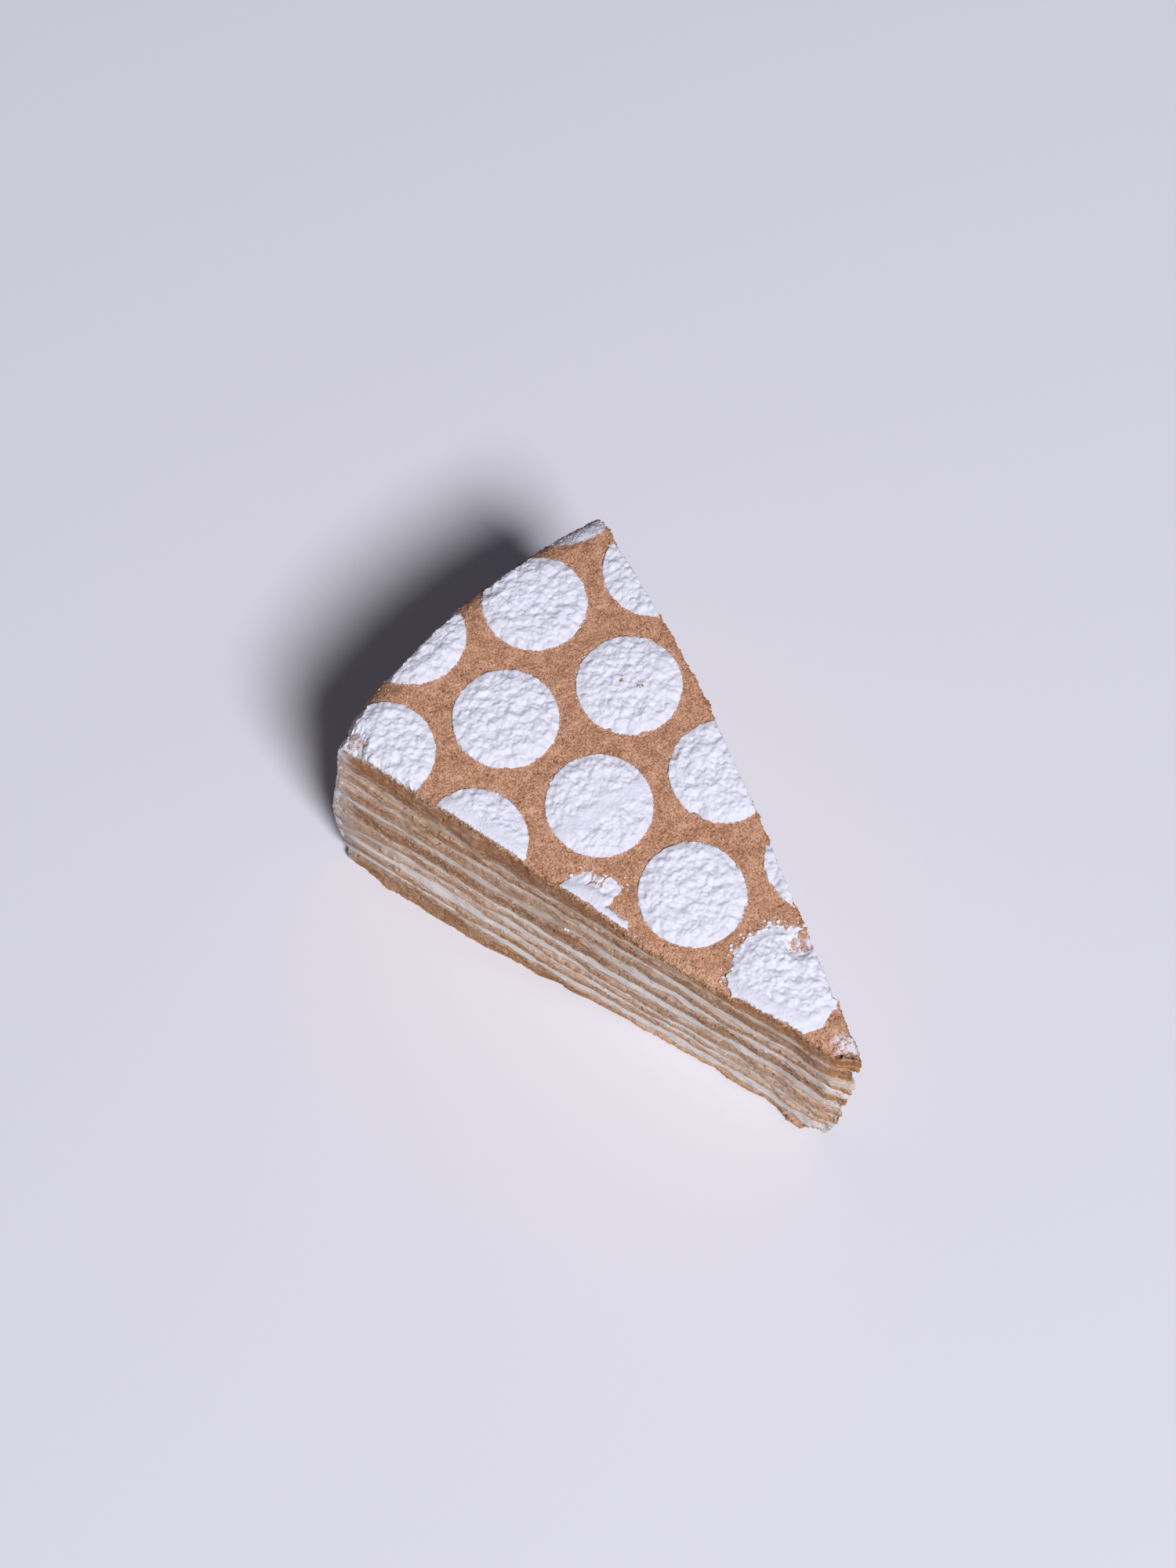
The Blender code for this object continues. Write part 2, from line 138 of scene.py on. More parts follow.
# The stencil's pattern: the first disc, the steps between rows, and each disc's column and row
DOT_RADIUS = 0.0103
DOT_FIRST = Vector((-0.0485, 0.0138))
DOT_ALONG = Vector((0.02475, 0.00269))
DOT_ACROSS = Vector((0.01512, -0.01978))
DOT_PLACES = (
    (-0.03, -0.01), (1.00, -0.02), (2.00, -0.01), (3.01, -0.01), (-0.01, 1.00), (1.00, 1.00),
    (1.99, 1.01), (2.95, 1.01), (-1.03, 1.01), (-1.02, 2.01), (-0.01, 2.02), (1.04, 2.01),
    (0.97, -1.03),
)
SLIVER = (0.0, -1.0)                # sugar on the shoulder only, without a disc of its own
SHOULDER_DOTS = (1, 9, 10)          # sugar also dusted the shoulder beside these discs

# Discs that differ from the rest, by number
STREWN = 2    # a few crumbs fell on it
WIPED = 6     # a smooth band was wiped across it
HEAPED = 8    # lumpy, and thin in one place
SCRAPED = 10  # scraped off at the corner
PRESSED = 11  # pressed flat at the front cut
BROKEN = 12   # cracked and crumbled

# Small features
HOLE = (0.0050, -0.0180, 0.0425)    # a small hole in the front cut
LUMP = (0.0016, -0.0190, 0.0418)    # cream that sticks out beside it
CRUMBLED = (0.0545, -0.0003, 0.0020)    # where the lowest biscuit crumbled at the tip
FRAYED = (-0.0135, 0.0270, 0.0650)  # where crumbs stick out of the far cut
THINNED = (0.0360, 0.0083, 0.0670)  # where the sugar of the heaped disc is worn through
TIP_SUGAR = (0.0565, 0.0026, 0.0670)    # sugar strewn on the tip
FALLEN = ((-0.0256, 0.0165), (-0.0223, 0.0181))    # where crumbs fell on a disc, in plan

# Colours
BISCUIT_STOPS = (
    (0.0, (0.20, 0.080, 0.031, 1.0)),
    (0.3, (0.36, 0.175, 0.078, 1.0)),
    (0.65, (0.49, 0.300, 0.172, 1.0)),
    (1.0, (0.64, 0.450, 0.300, 1.0)),
)
TOASTED = (0.60, 0.30, 0.115, 1.0)
# Dark flecks of the biscuit, also used as painted shade just under the crumb bed
FLECK_AND_SHADE = (0.30, 0.130, 0.048, 1.0)
# Painted shade inside the hole in the front cut, dark red-brown
HOLE_SHADE = (0.17, 0.06, 0.025, 1.0)
SMEARED = (0.67, 0.54, 0.42, 1.0)
COATED = (0.68, 0.57, 0.47, 1.0)
COATED_HIGH = (0.84, 0.80, 0.79, 1.0)
GOLDEN_DARK = (0.34, 0.150, 0.052, 1.0)
GOLDEN_PALE = (0.78, 0.50, 0.26, 1.0)
CREAM_CLEAN = (0.85, 0.79, 0.70, 1.0)
CREAM_DIRTY = (0.59, 0.445, 0.305, 1.0)
CREAM_CRUMBS = (0.45, 0.29, 0.175, 1.0)
COAT_PALE = (0.80, 0.755, 0.73, 1.0)
COAT_DULL = (0.64, 0.55, 0.48, 1.0)
COAT_CRUMBS = (0.46, 0.30, 0.185, 1.0)
CRUMB_DARK = (0.33, 0.145, 0.068, 1.0)
CRUMB_PALE = (0.76, 0.45, 0.27, 1.0)
CRUMB_PRESSED = (0.80, 0.51, 0.33, 1.0)
BARE_DARK = (0.36, 0.18, 0.09, 1.0)
BARE_PALE = (0.60, 0.47, 0.37, 1.0)
DUSTED = (0.83, 0.85, 0.90, 1.0)
SUGAR_DULL = (0.79, 0.81, 0.85, 1.0)
SUGAR_WHITE = (0.88, 0.895, 0.93, 1.0)
FLOOR_COLOUR = (0.785, 0.795, 0.80, 1.0)

# Camera, from straight overhead, turned, tilted and rolled
CAMERA_PLACE = Vector((0.10505, -0.1168, 0.5519))
CAMERA_TURN = math.radians(45.93)
CAMERA_TILT = math.radians(18.73)
CAMERA_ROLL = math.radians(5.0)
CAMERA_LENS = 61.74

# Light
KEY_TURN = math.radians(-12.0)      # where the key light stands, from +X
KEY_HEIGHT = math.radians(58.0)
KEY_DISTANCE = 3.0
KEY_SIZE = 0.95
KEY_POWER = 93.0
LIGHT_COLOUR = (0.93, 0.90, 1.0)
SKY_COLOUR = (0.62, 0.68, 1.0)
SKY_POWER = 0.09
FLOOR_SIZE = 6.0


# Node trees -----------------------

class Value:
    """A node's output. Sums and products of values add Math nodes."""

    def __init__(self, tree, socket):
        self.tree = tree
        self.socket = socket

    def __add__(self, other):
        return self.tree.math("ADD", self, other)

    def __radd__(self, other):
        return self.tree.math("ADD", other, self)

    def __sub__(self, other):
        return self.tree.math("SUBTRACT", self, other)

    def __rsub__(self, other):
        return self.tree.math("SUBTRACT", other, self)

    def __mul__(self, other):
        return self.tree.math("MULTIPLY", self, other)

    def __rmul__(self, other):
        return self.tree.math("MULTIPLY", other, self)

    def __pow__(self, other):
        return self.tree.math("POWER", self, other)

    def __abs__(self):
        return self.tree.math("ABSOLUTE", self)


class Tree:
    """A material's or a modifier's nodes."""

    def __init__(self, tree):
        self.tree = tree
        self.tree.nodes.clear()

    def node(self, kind, settings=None, inputs=None, output=0):
        """Adds a node, sets it, feeds its sockets and gives one of its outputs."""
        node = self.tree.nodes.new(kind)
        for name, value in (settings or {}).items():
            if name == "stops":
                self.set_stops(node.color_ramp, value)
            else:
                setattr(node, name, value)
        for name, value in (inputs or {}).items():
            if isinstance(value, Value):
                self.tree.links.new(value.socket, node.inputs[name])
            else:
                node.inputs[name].default_value = value
        return Value(self, node.outputs[output]) if node.outputs else node

    @staticmethod
    def set_stops(ramp, stops):
        while len(ramp.elements) < len(stops):
            ramp.elements.new(1.0)
        for element, (place, colour) in zip(ramp.elements, stops):
            element.position = place
            element.color = colour

    def math(self, operation, *values):
        """Math."""
        return self.node("ShaderNodeMath", {"operation": operation}, dict(enumerate(values)))

    def vector(self, operation, *values, output=0):
        """Vector Math."""
        return self.node("ShaderNodeVectorMath", {"operation": operation},
                         dict(enumerate(values)), output)

    def scaled(self, vector, factor):
        """A vector times a number."""
        return self.node("ShaderNodeVectorMath", {"operation": "SCALE"},
                         {"Vector": vector, "Scale": factor})

    def total(self, first, *others):
        """The sum of some vectors."""
        for other in others:
            first = self.vector("ADD", first, other)
        return first

    def parts(self, vector):
        """The three numbers of a vector."""
        split = self.node("ShaderNodeSeparateXYZ", None, {"Vector": vector})
        node = split.socket.node
        return [Value(self, node.outputs[number]) for number in range(3)]

    def join(self, x, y, z):
        """A vector of three numbers."""
        return self.node("ShaderNodeCombineXYZ", None, {"X": x, "Y": y, "Z": z})

    def ramp(self, value, low, high, start=0.0, end=1.0):
        """A smooth step from start, at low, to end, at high."""
        inputs = {"Value": value, "From Min": low, "From Max": high, "To Min": start, "To Max": end}
        return self.node("ShaderNodeMapRange", {"interpolation_type": "SMOOTHSTEP"}, inputs)

    def fall(self, value, low, high):
        """A smooth step from 1, at low, to 0, at high."""
        return self.ramp(value, low, high, 1.0, 0.0)

    def noise(self, size, detail=1.0, roughness=0.5, stretch=None, shift=(0.0, 0.0, 0.0), place=None):
        """Noise about 0, from -1 to 1, with lumps of a size in metres, stretched along X, Y and Z."""
        moved = self.vector("ADD", place or self.place, shift)
        if stretch:
            moved = self.vector("DIVIDE", moved, stretch)
        inputs = {"Vector": moved, "Scale": 1.0 / size, "Detail": detail, "Roughness": roughness}
        return self.node("ShaderNodeTexNoise", None, inputs) * 2.0 - 1.0

    def cells(self, place, size, feature="F1"):
        """Distance to the nearest of scattered points, in cells of a size in metres."""
        inputs = {"Vector": place, "Scale": 1.0 / size}
        return self.node("ShaderNodeTexVoronoi", {"feature": feature}, inputs, "Distance")

    def blend(self, factor, first, second):
        """A mix of two colours."""
        return self.node("ShaderNodeMix", {"data_type": "RGBA"}, {0: factor, 6: first, 7: second}, 2)


class Shape(Tree):
    """A Geometry Nodes modifier that reshapes or covers a piece."""

    def __init__(self, name):
        super().__init__(bpy.data.node_groups.new(name, "GeometryNodeTree"))
        for way in ("INPUT", "OUTPUT"):
            self.tree.interface.new_socket(name="Geometry", in_out=way,
                                           socket_type="NodeSocketGeometry")
        self.given = self.node("NodeGroupInput")
        self.place = self.node("GeometryNodeInputPosition")
        self.normal = self.node("GeometryNodeInputNormal")
        self.x, self.y, self.z = self.parts(self.place)

    def attribute(self, name):
        """A number kept on the mesh."""
        return self.node("GeometryNodeInputNamedAttribute", {"data_type": "FLOAT"}, {"Name": name})

    def apply(self, piece, result):
        """Ends the nodes with a result and applies the modifier."""
        self.node("NodeGroupOutput", None, {"Geometry": result})
        modifier = piece.modifiers.new("shape", "NODES")
        modifier.node_group = self.tree
        finish_modifier(piece, modifier)
        bpy.data.node_groups.remove(self.tree)

    def push(self, piece, offset):
        """Moves each point by an offset."""
        moved = self.node("GeometryNodeSetPosition", None, {"Geometry": self.given, "Offset": offset})
        self.apply(piece, moved)


class Finish(Tree):
    """A material with one Principled shader."""

    def __init__(self, name, **constants):
        self.material = bpy.data.materials.new(name)
        self.material.use_nodes = True
        super().__init__(self.material.node_tree)
        self.shader = self.tree.nodes.new("ShaderNodeBsdfPrincipled")
        output = self.tree.nodes.new("ShaderNodeOutputMaterial")
        self.tree.links.new(self.shader.outputs["BSDF"], output.inputs["Surface"])
        for socket, value in constants.items():
            self.shader.inputs[socket.replace("_", " ")].default_value = value
        self.place = self.node("ShaderNodeTexCoord", None, None, "Object")
        self.x, self.y, self.z = self.parts(self.place)

    def attribute(self, name):
        """A number kept on the mesh."""
        return self.node("ShaderNodeAttribute", {"attribute_name": name}, None, "Fac")

    def feed(self, socket, value):
        """Links a value to the shader."""
        self.tree.links.new(value.socket, self.shader.inputs[socket])

    def bump(self, height, distance):
        """Relief too fine for the mesh."""
        inputs = {"Height": height, "Distance": distance, "Strength": 0.5}
        self.feed("Normal", self.node("ShaderNodeBump", None, inputs))


# Mesh tools -----------------------

def choose(piece):
    """Selects one piece and nothing else."""
    for other in bpy.context.selected_objects:
        other.select_set(False)
    piece.select_set(True)
    bpy.context.view_layer.objects.active = piece


def finish_modifier(piece, modifier):
    """Applies a modifier."""
    choose(piece)
    bpy.ops.object.modifier_apply(modifier=modifier.name)


def edit(piece):
    """Opens a piece in edit mode."""
    choose(piece)
    bpy.ops.object.mode_set(mode="EDIT")


def close():
    """Leaves edit mode."""
    bpy.ops.object.mode_set(mode="OBJECT")


def select(piece, kind, test):
    """Selects the edges or faces of a piece in edit mode that pass a test."""
    bpy.ops.mesh.select_mode(type={"edges": "EDGE", "faces": "FACE"}[kind])
    bpy.ops.mesh.select_all(action="DESELECT")
    bm = bmesh.from_edit_mesh(piece.data)
    for item in getattr(bm, kind):
        item.select = bool(test(item))
    bm.select_flush_mode()
    bmesh.update_edit_mesh(piece.data)


def welded_copy(name, node):
    """A copy of a CAD node as one closed mesh, mostly of four-sided faces."""
    piece = bpy.data.objects.new(name, frame["nodes"][node].data.copy())
    bpy.context.scene.collection.objects.link(piece)
    piece.data.materials.clear()
    edit(piece)
    bpy.ops.mesh.select_all(action="SELECT")
    bpy.ops.mesh.remove_doubles(threshold=WELD)
    bpy.ops.mesh.customdata_custom_splitnormals_clear()
    bpy.ops.mesh.tris_convert_to_quads(face_threshold=math.pi, shape_threshold=math.pi)
    close()
    return piece


def remesh(piece, voxel):
    """Gives a piece an even mesh."""
    modifier = piece.modifiers.new("even", "REMESH")
    modifier.mode = "VOXEL"
    modifier.voxel_size = voxel
    finish_modifier(piece, modifier)


def soften(piece, rounds):
    """Smooths away the steps that an even mesh leaves."""
    modifier = piece.modifiers.new("soften", "SMOOTH")
    modifier.iterations = rounds
    finish_modifier(piece, modifier)


def thin_out(piece, hidden):
    """Leaves few faces where a piece isn't seen; hidden tests a face's middle and normal."""
    edit(piece)
    select(piece, "faces", lambda face: hidden(face.calc_center_median(), face.normal))
    bpy.ops.mesh.decimate(ratio=HIDDEN_SHARE)
    close()


def mark(piece, name, values):
    """Keeps a number at each point, for the nodes to read."""
    kept = piece.data.attributes.new(name, "FLOAT", "POINT")
    kept.data.foreach_set("value", values)


def settle(piece, material, slot, *nodes):
    """Shades a finished piece and ties it to the cake."""
    piece.data.materials.clear()
    piece.data.materials.append(material)
    piece.data.shade_smooth()
    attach(piece, "root")
    if nodes:
        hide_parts(*nodes)


# Places on the cake ---------------

def distance(tree, spot):
    """Distance from a spot, in plan where the spot has no height."""
    if len(spot) == 2:
        place = tree.join(tree.x, tree.y, 0.0)
        spot = (*spot, 0.0)
    else:
        place = tree.place
    return tree.vector("DISTANCE", place, spot, output=1)


def away_from(tree, spot):
    """The level direction away from a spot in plan."""
    level = tree.join(tree.x, tree.y, 0.0)
    return tree.vector("NORMALIZE", tree.vector("SUBTRACT", level, (*spot, 0.0)))


def near(tree, spot, inner, outer):
    """1 within an inner distance of a spot, 0 beyond an outer one, ragged between."""
    ragged = tree.noise(1.2 * MM, 3.0, 0.7) * (0.3 * outer)
    return tree.fall(distance(tree, spot) + ragged, inner, outer)


def front_depth(tree):
    """How far behind the front cut a point is, allowing for how the cut bows out."""
    straight = (tree.x - FRONT_CORNER.x) * INWARD[0] + (tree.y - FRONT_CORNER.y) * INWARD[1]
    along = (FRONT_TIP.x - tree.x) * (1.0 / (FRONT_TIP.x - FRONT_CORNER.x))
    belly = ((along - BELLY_PLACE) * (1.0 / BELLY_WIDTH)) ** 2.0 * -1.0
    top_bow = tree.math("SINE", along * math.pi) * TOP_BOW
    top_bow = top_bow + tree.math("EXPONENT", belly) * BELLY_BOW
    base_bow = tree.ramp(along, 0.15, 0.82, 0.0, BASE_BOW)
    base_bow = base_bow + tree.ramp(along, 0.87, 1.0, 0.0, CORNER_BOW)
    return straight + base_bow + (top_bow - base_bow) * (tree.z * (1.0 / HIGH.z))


def rim_depth(tree):
    """How far inside the round outer side a point is."""
    return RIM_RADIUS - distance(tree, RIM_CENTRE)


def towards_tip(tree, start, end, *values):
    """A smooth step between two distances before the tip."""
    return tree.ramp(tree.x, HIGH.x - start, HIGH.x - end, *values)


def bare_corner(tree):
    """Where the crumbs of the outer side came off beside the front cut."""
    ragged = tree.noise(2.0 * MM, 2.0, 0.6) * (1.0 * MM)
    return (tree.fall(front_depth(tree) + ragged, 2.6 * MM, 4.2 * MM)
            * tree.fall(rim_depth(tree), 3.0 * MM, 5.0 * MM)
            * tree.fall(tree.z, 59.5 * MM, 63.0 * MM))


def hollow(tree):
    """A small hole in the front cut, longer along the layers."""
    x, y, z = tree.parts(tree.vector("SUBTRACT", tree.place, HOLE))
    away = tree.join(x * FRONT_RUN.x + y * FRONT_RUN.y, z * 1.8, 0.0)
    ragged = tree.noise(0.8 * MM, 2.0) * (0.7 * MM)
    reach = tree.vector("LENGTH", away, output=1) + ragged
    shallow = tree.fall(front_depth(tree), 5.0 * MM, 6.0 * MM)
    return shallow * tree.fall(reach, 0.8 * MM, 2.6 * MM)


def dot_centre(place):
    """Middle of one disc of the stencil's pattern."""
    return DOT_FIRST + DOT_ALONG * place[0] + DOT_ACROSS * place[1]


def in_dots(tree, places, inner=1.0 * MM, outer=0.0, ragged=0.0):
    """1 inside some of the stencil's circles, from a step inside their edges, and 0 outside."""
    inside = 0.0
    for place in places:
        reach = distance(tree, dot_centre(place)) + ragged
        disc = tree.fall(reach, DOT_RADIUS - inner, DOT_RADIUS - outer)
        inside = tree.math("MAXIMUM", disc, inside)
    return inside


# Layers ---------------------------

def edge_way(edge):
    """The direction of an edge."""
    return (edge.verts[1].co - edge.verts[0].co).normalized()


def upright(edge):
    """Whether an edge runs up a cut face."""
    return abs(edge_way(edge).z) > 0.6


def lengthwise(edge):
    """Whether an edge runs along the slice."""
    return abs(edge_way(edge).x) > 0.9


def refine_layer(piece, rows):
    """Cuts a layer's outline into rows and columns."""
    edit(piece)
    tip = max(vertex.co.x for vertex in piece.data.vertices) - TIP_FACE
    select(piece, "edges", upright)
    bpy.ops.mesh.subdivide(number_cuts=rows - 1)
    select(piece, "edges", lambda edge: not lengthwise(edge) and not upright(edge)
           and edge.verts[0].co.x > tip and edge.verts[1].co.x > tip - TIP_FACE)
    bpy.ops.mesh.subdivide(number_cuts=TIP_CUTS)
    select(piece, "edges", lengthwise)
    bpy.ops.mesh.subdivide(number_cuts=COLUMN_CUTS)
    close()


def layer_warp(shape):
    """How far the layers rise and fall, the same for all of them, so that they stay in touch."""
    slow = shape.noise(9.0 * MM, 1.0)
    quick = shape.noise(2.2 * MM, 2.0, 0.6)
    fade = shape.ramp(shape.z, 0.5 * MM, 4.0 * MM)
    fade = fade * shape.fall(shape.z, 56.0 * MM, 62.0 * MM)
    return (slow * (0.7 * MM) + quick * (0.35 * MM)) * fade


def outward(shape):
    """The level direction out of a cut face, and a mask of the cut faces."""
    x, y, z = shape.parts(shape.normal)
    flat = shape.vector("NORMALIZE", shape.join(x, y, 0.0))
    return flat, shape.fall(abs(z), 0.80, 0.95)


def smear_mask(tree):
    """Where the knife dragged cream over the cut face: streaks along the layers."""
    streaks = tree.noise(1.1 * MM, 3.0, 0.6, stretch=(7.0, 7.0, 0.9))
    patches = tree.noise(8.0 * MM, 1.0)
    return tree.ramp(streaks + patches * 0.5, -0.05, 0.5)


def strata(tree, shift=(0.0, 0.0, 0.0)):
    """Fine streaks along the layers."""
    return tree.noise(1.2 * MM, 3.0, 0.6, stretch=(6.0, 6.0, 1.0), shift=shift)


def stretch_to_rim(shape, seed, reach):
    """Carries the outer ends of a layer into the cream coat."""
    uneven = shape.noise(6.0 * MM, 1.0, shift=seed) * (0.7 * MM) + reach
    outer = shape.fall(rim_depth(shape), 4.0 * MM, 11.0 * MM)
    return shape.scaled(away_from(shape, RIM_CENTRE), uneven * outer)


def torn_tip(shape):
    """How unevenly the narrow end of the slice tore, into thin flakes."""
    flakes = shape.noise(1.3 * MM, 4.0, 0.8, stretch=(1.4, 1.4, 0.45))
    return towards_tip(shape, 8.0 * MM, 4.0 * MM) * flakes * (0.75 * MM)


def shape_biscuit(piece, number):
    """Crumbly, porous cut faces with a ragged lip."""
    shape = Shape("biscuit")
    flat, mask = outward(shape)
    level = shape.attribute("level")
    seed = (0.031 * number, 0.017 * number, 0.0)
    lowest = number == 1
    rough = 1.5 if number in ROUGH_BISCUITS else 1.0
    step = shape.noise(4.0 * MM, 2.0, 0.6, shift=seed)
    step = step * (0.2 * MM if lowest else 0.5 * MM)
    belly = level * (1.0 - level) * (1.0 * MM)
    lumps = shape.noise(1.0 * MM, 3.0, 0.75) * (0.40 * MM)
    grit = shape.cells(shape.place, 0.5 * MM) * (-0.10 * MM if lowest else -0.20 * MM)
    pits = shape.ramp(shape.noise(1.4 * MM, 2.0, 0.6), 0.20, 0.50) * (-0.7 * MM)
    calm = 1.0 - smear_mask(shape) * 0.6
    relief = (lumps + grit + pits) * calm * rough
    out = (step + belly + strata(shape) * (0.25 * MM) + relief) * mask
    out = out - hollow(shape) * (2.0 * MM) + torn_tip(shape) * mask
    lip_rise = shape.noise(0.9 * MM, 2.0, 0.7, shift=(0.0, 0.2, 0.0)) * (0.28 * MM)
    if lowest:
        crumbs = shape.noise(1.1 * MM, 2.0, 0.7) * 1.2 + 0.5
        out = out + near(shape, CRUMBLED, 1.0 * MM, 3.5 * MM) * crumbs * (0.9 * MM) * mask
    if number == BISCUITS:
        worn = shape.noise(0.8 * MM, 2.0, 0.7) * 0.5 - 0.7
        worn = worn * towards_tip(shape, 7.0 * MM, 4.0 * MM, 1.0, 0.0)
        out = out + shape.ramp(level, 0.55, 1.0) * worn * (1.0 * MM) * mask
        upper = shape.ramp(level, 0.5, 1.0) * (0.8 * MM)
        lip_rise = lip_rise + towards_tip(shape, 9.0 * MM, 5.0 * MM) * upper
    lift = shape.join(0.0, 0.0, layer_warp(shape) + lip_rise * mask)
    stretch = stretch_to_rim(shape, seed, 2.5 * MM)
    shape.push(piece, shape.total(shape.scaled(flat, out), lift, stretch))


def shape_cream(piece, number):
    """Smooth cream, dragged into shallow streaks, which fills the gaps between the biscuits."""
    shape = Shape("cream")
    flat, mask = outward(shape)
    level = shape.attribute("level")
    seed = (0.023 * number, 0.041 * number, 0.0)
    step = shape.noise(3.5 * MM, 1.0, shift=seed) * (0.4 * MM)
    belly = level * (1.0 - level) * (0.5 * MM)
    specks = shape.ramp(shape.noise(0.8 * MM, 1.0), 0.30, 0.55) * (0.30 * MM)
    out = (step + strata(shape) * (0.3 * MM) + belly + specks - 0.1 * MM) * mask
    out = out - hollow(shape) * (0.8 * MM) + torn_tip(shape) * mask
    if number in SWOLLEN_CREAMS:
        at_tip = towards_tip(shape, 7.0 * MM, 4.0 * MM)
        out = out + at_tip * level * (1.0 - level) * (3.0 * MM) * mask
    swell = (level - 0.5) * (0.5 * MM)
    lift = shape.join(0.0, 0.0, layer_warp(shape) + swell)
    stretch = stretch_to_rim(shape, seed, 2.3 * MM)
    shape.push(piece, shape.total(shape.scaled(flat, out), lift, stretch))


def make_layer(kind, number, former, material):
    """One layer, with its upper side and its tones marked on it."""
    node = f"{kind}_layer_{number}"
    low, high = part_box(node)
    piece = welded_copy(f"{kind}_{number}", node)
    mark(piece, "level", [float(normal.vector.z > 0.0) for normal in piece.data.vertex_normals])
    refine_layer(piece, max(4, round(0.8 * (high.z - low.z) / ROW_HEIGHT)))
    former(piece, number)
    tones = TONES[kind][number - 1]
    mark(piece, "dirt", [np.interp(point.co.x, TONE_PLACES, tones) for point in piece.data.vertices])
    settle(piece, material, kind, node)
    return piece


# Coats ----------------------------

def make_cream_coat(material):
    """The cream round the outer ends of the layers."""
    piece = welded_copy("outer_cream", "cream_coat")
    remesh(piece, CREAM_VOXEL)
    soften(piece, 10)
    thin_out(piece, lambda middle, normal: normal.x > 0.8)
    shape = Shape("outer_cream")
    lumps = shape.noise(2.5 * MM, 2.0) * (0.2 * MM)
    outer = shape.fall(rim_depth(shape), 0.5 * MM, 2.5 * MM)
    swell = shape.scaled(away_from(shape, RIM_CENTRE), bare_corner(shape) * outer * (0.8 * MM))
    inner = shape.ramp(rim_depth(shape), 0.9 * MM, 1.6 * MM)
    inner = inner * shape.fall(front_depth(shape), 0.3 * MM, 1.2 * MM)
    swell = shape.total(swell, shape.scaled(INWARD, inner * (0.6 * MM)))
    relief = shape.scaled(shape.normal, lumps + 0.1 * MM)
    shape.push(piece, shape.total(relief, swell))
    settle(piece, material, "cream", "cream_coat")


def under_bed(middle, normal):
    """Whether a face of the crumb bed lies against the cake."""
    return normal.z < -0.5 or (normal.x > 0.5 and middle.x < 0.5 * HIGH.x)


def make_crumb_coat(material):
    """The bed of crumbs on the top and the outer side, worn away at the front cut."""
    piece = welded_copy("crumb_bed", "crumb_coat")
    remesh(piece, COAT_VOXEL)
    thin_out(piece, under_bed)
    slopes = [abs(normal.vector.y) for normal in piece.data.vertex_normals]
    mark(piece, "cut", [min(max(slope * 3.0 - 1.6, 0.0), 1.0) for slope in slopes])
    shape = Shape("crumb_bed")
    back = front_depth(shape)
    lumps = shape.noise(2.4 * MM, 1.0) * (0.4 * MM)
    lumps = lumps - in_dots(shape, DOT_PLACES) * (0.35 * MM)
    grains = shape.noise(0.7 * MM, 2.0, 0.6) * (0.28 * MM) - 0.1 * MM
    relief = shape.scaled(shape.normal, lumps + grains + 0.1 * MM)
    frayed = shape.noise(1.5 * MM, 3.0, 0.7) * (0.8 * MM)
    flat = shape.vector("MULTIPLY", shape.normal, (1.0, 1.0, 0.0))
    edge = shape.scaled(flat, shape.attribute("cut") * frayed)
    tread = shape.ramp(back + frayed, -0.2 * MM, 1.4 * MM, -0.8 * MM, 0.0)
    worn = shape.ramp(back + frayed, 0.5 * MM, 3.5 * MM, -0.9 * MM, 0.0)
    worn = worn * shape.fall(rim_depth(shape), 5.0 * MM, 12.0 * MM)
    upper = shape.ramp(shape.z, 60.0 * MM, 66.0 * MM)
    skirt = shape.ramp(shape.parts(shape.normal)[2], -0.45, -0.1, -1.1 * MM, 0.0)
    skirt = skirt * towards_tip(shape, 9.0 * MM, 5.0 * MM)
    bared = bare_corner(shape)
    drawn_back = shape.total(shape.scaled(INWARD, bared * (2.5 * MM)),
                             shape.scaled(away_from(shape, RIM_CENTRE), bared * (-1.7 * MM)))
    lowered = shape.total(drawn_back, shape.join(0.0, 0.0, (tread + worn) * upper + skirt))
    shape.push(piece, shape.total(relief, edge, lowered))
    settle(piece, material, "crumbs", "crumb_coat")
    return piece


def pressed_edge(shape, number):
    """Where the knife pressed a disc smooth beside the front cut."""
    if number not in (HEAPED, PRESSED, BROKEN):
        return 0.0
    return shape.fall(front_depth(shape), 2.4 * MM, 3.6 * MM)


def wiped_band(shape, number):
    """The smooth band across the wiped disc, just off its middle."""
    if number != WIPED:
        return 0.0
    centre = dot_centre(DOT_PLACES[number - 1])
    off = (shape.x - centre.x) * 0.99 + (shape.y - centre.y) * -0.12 - 1.2 * MM
    return shape.fall(abs(off), 1.2 * MM, 2.4 * MM)


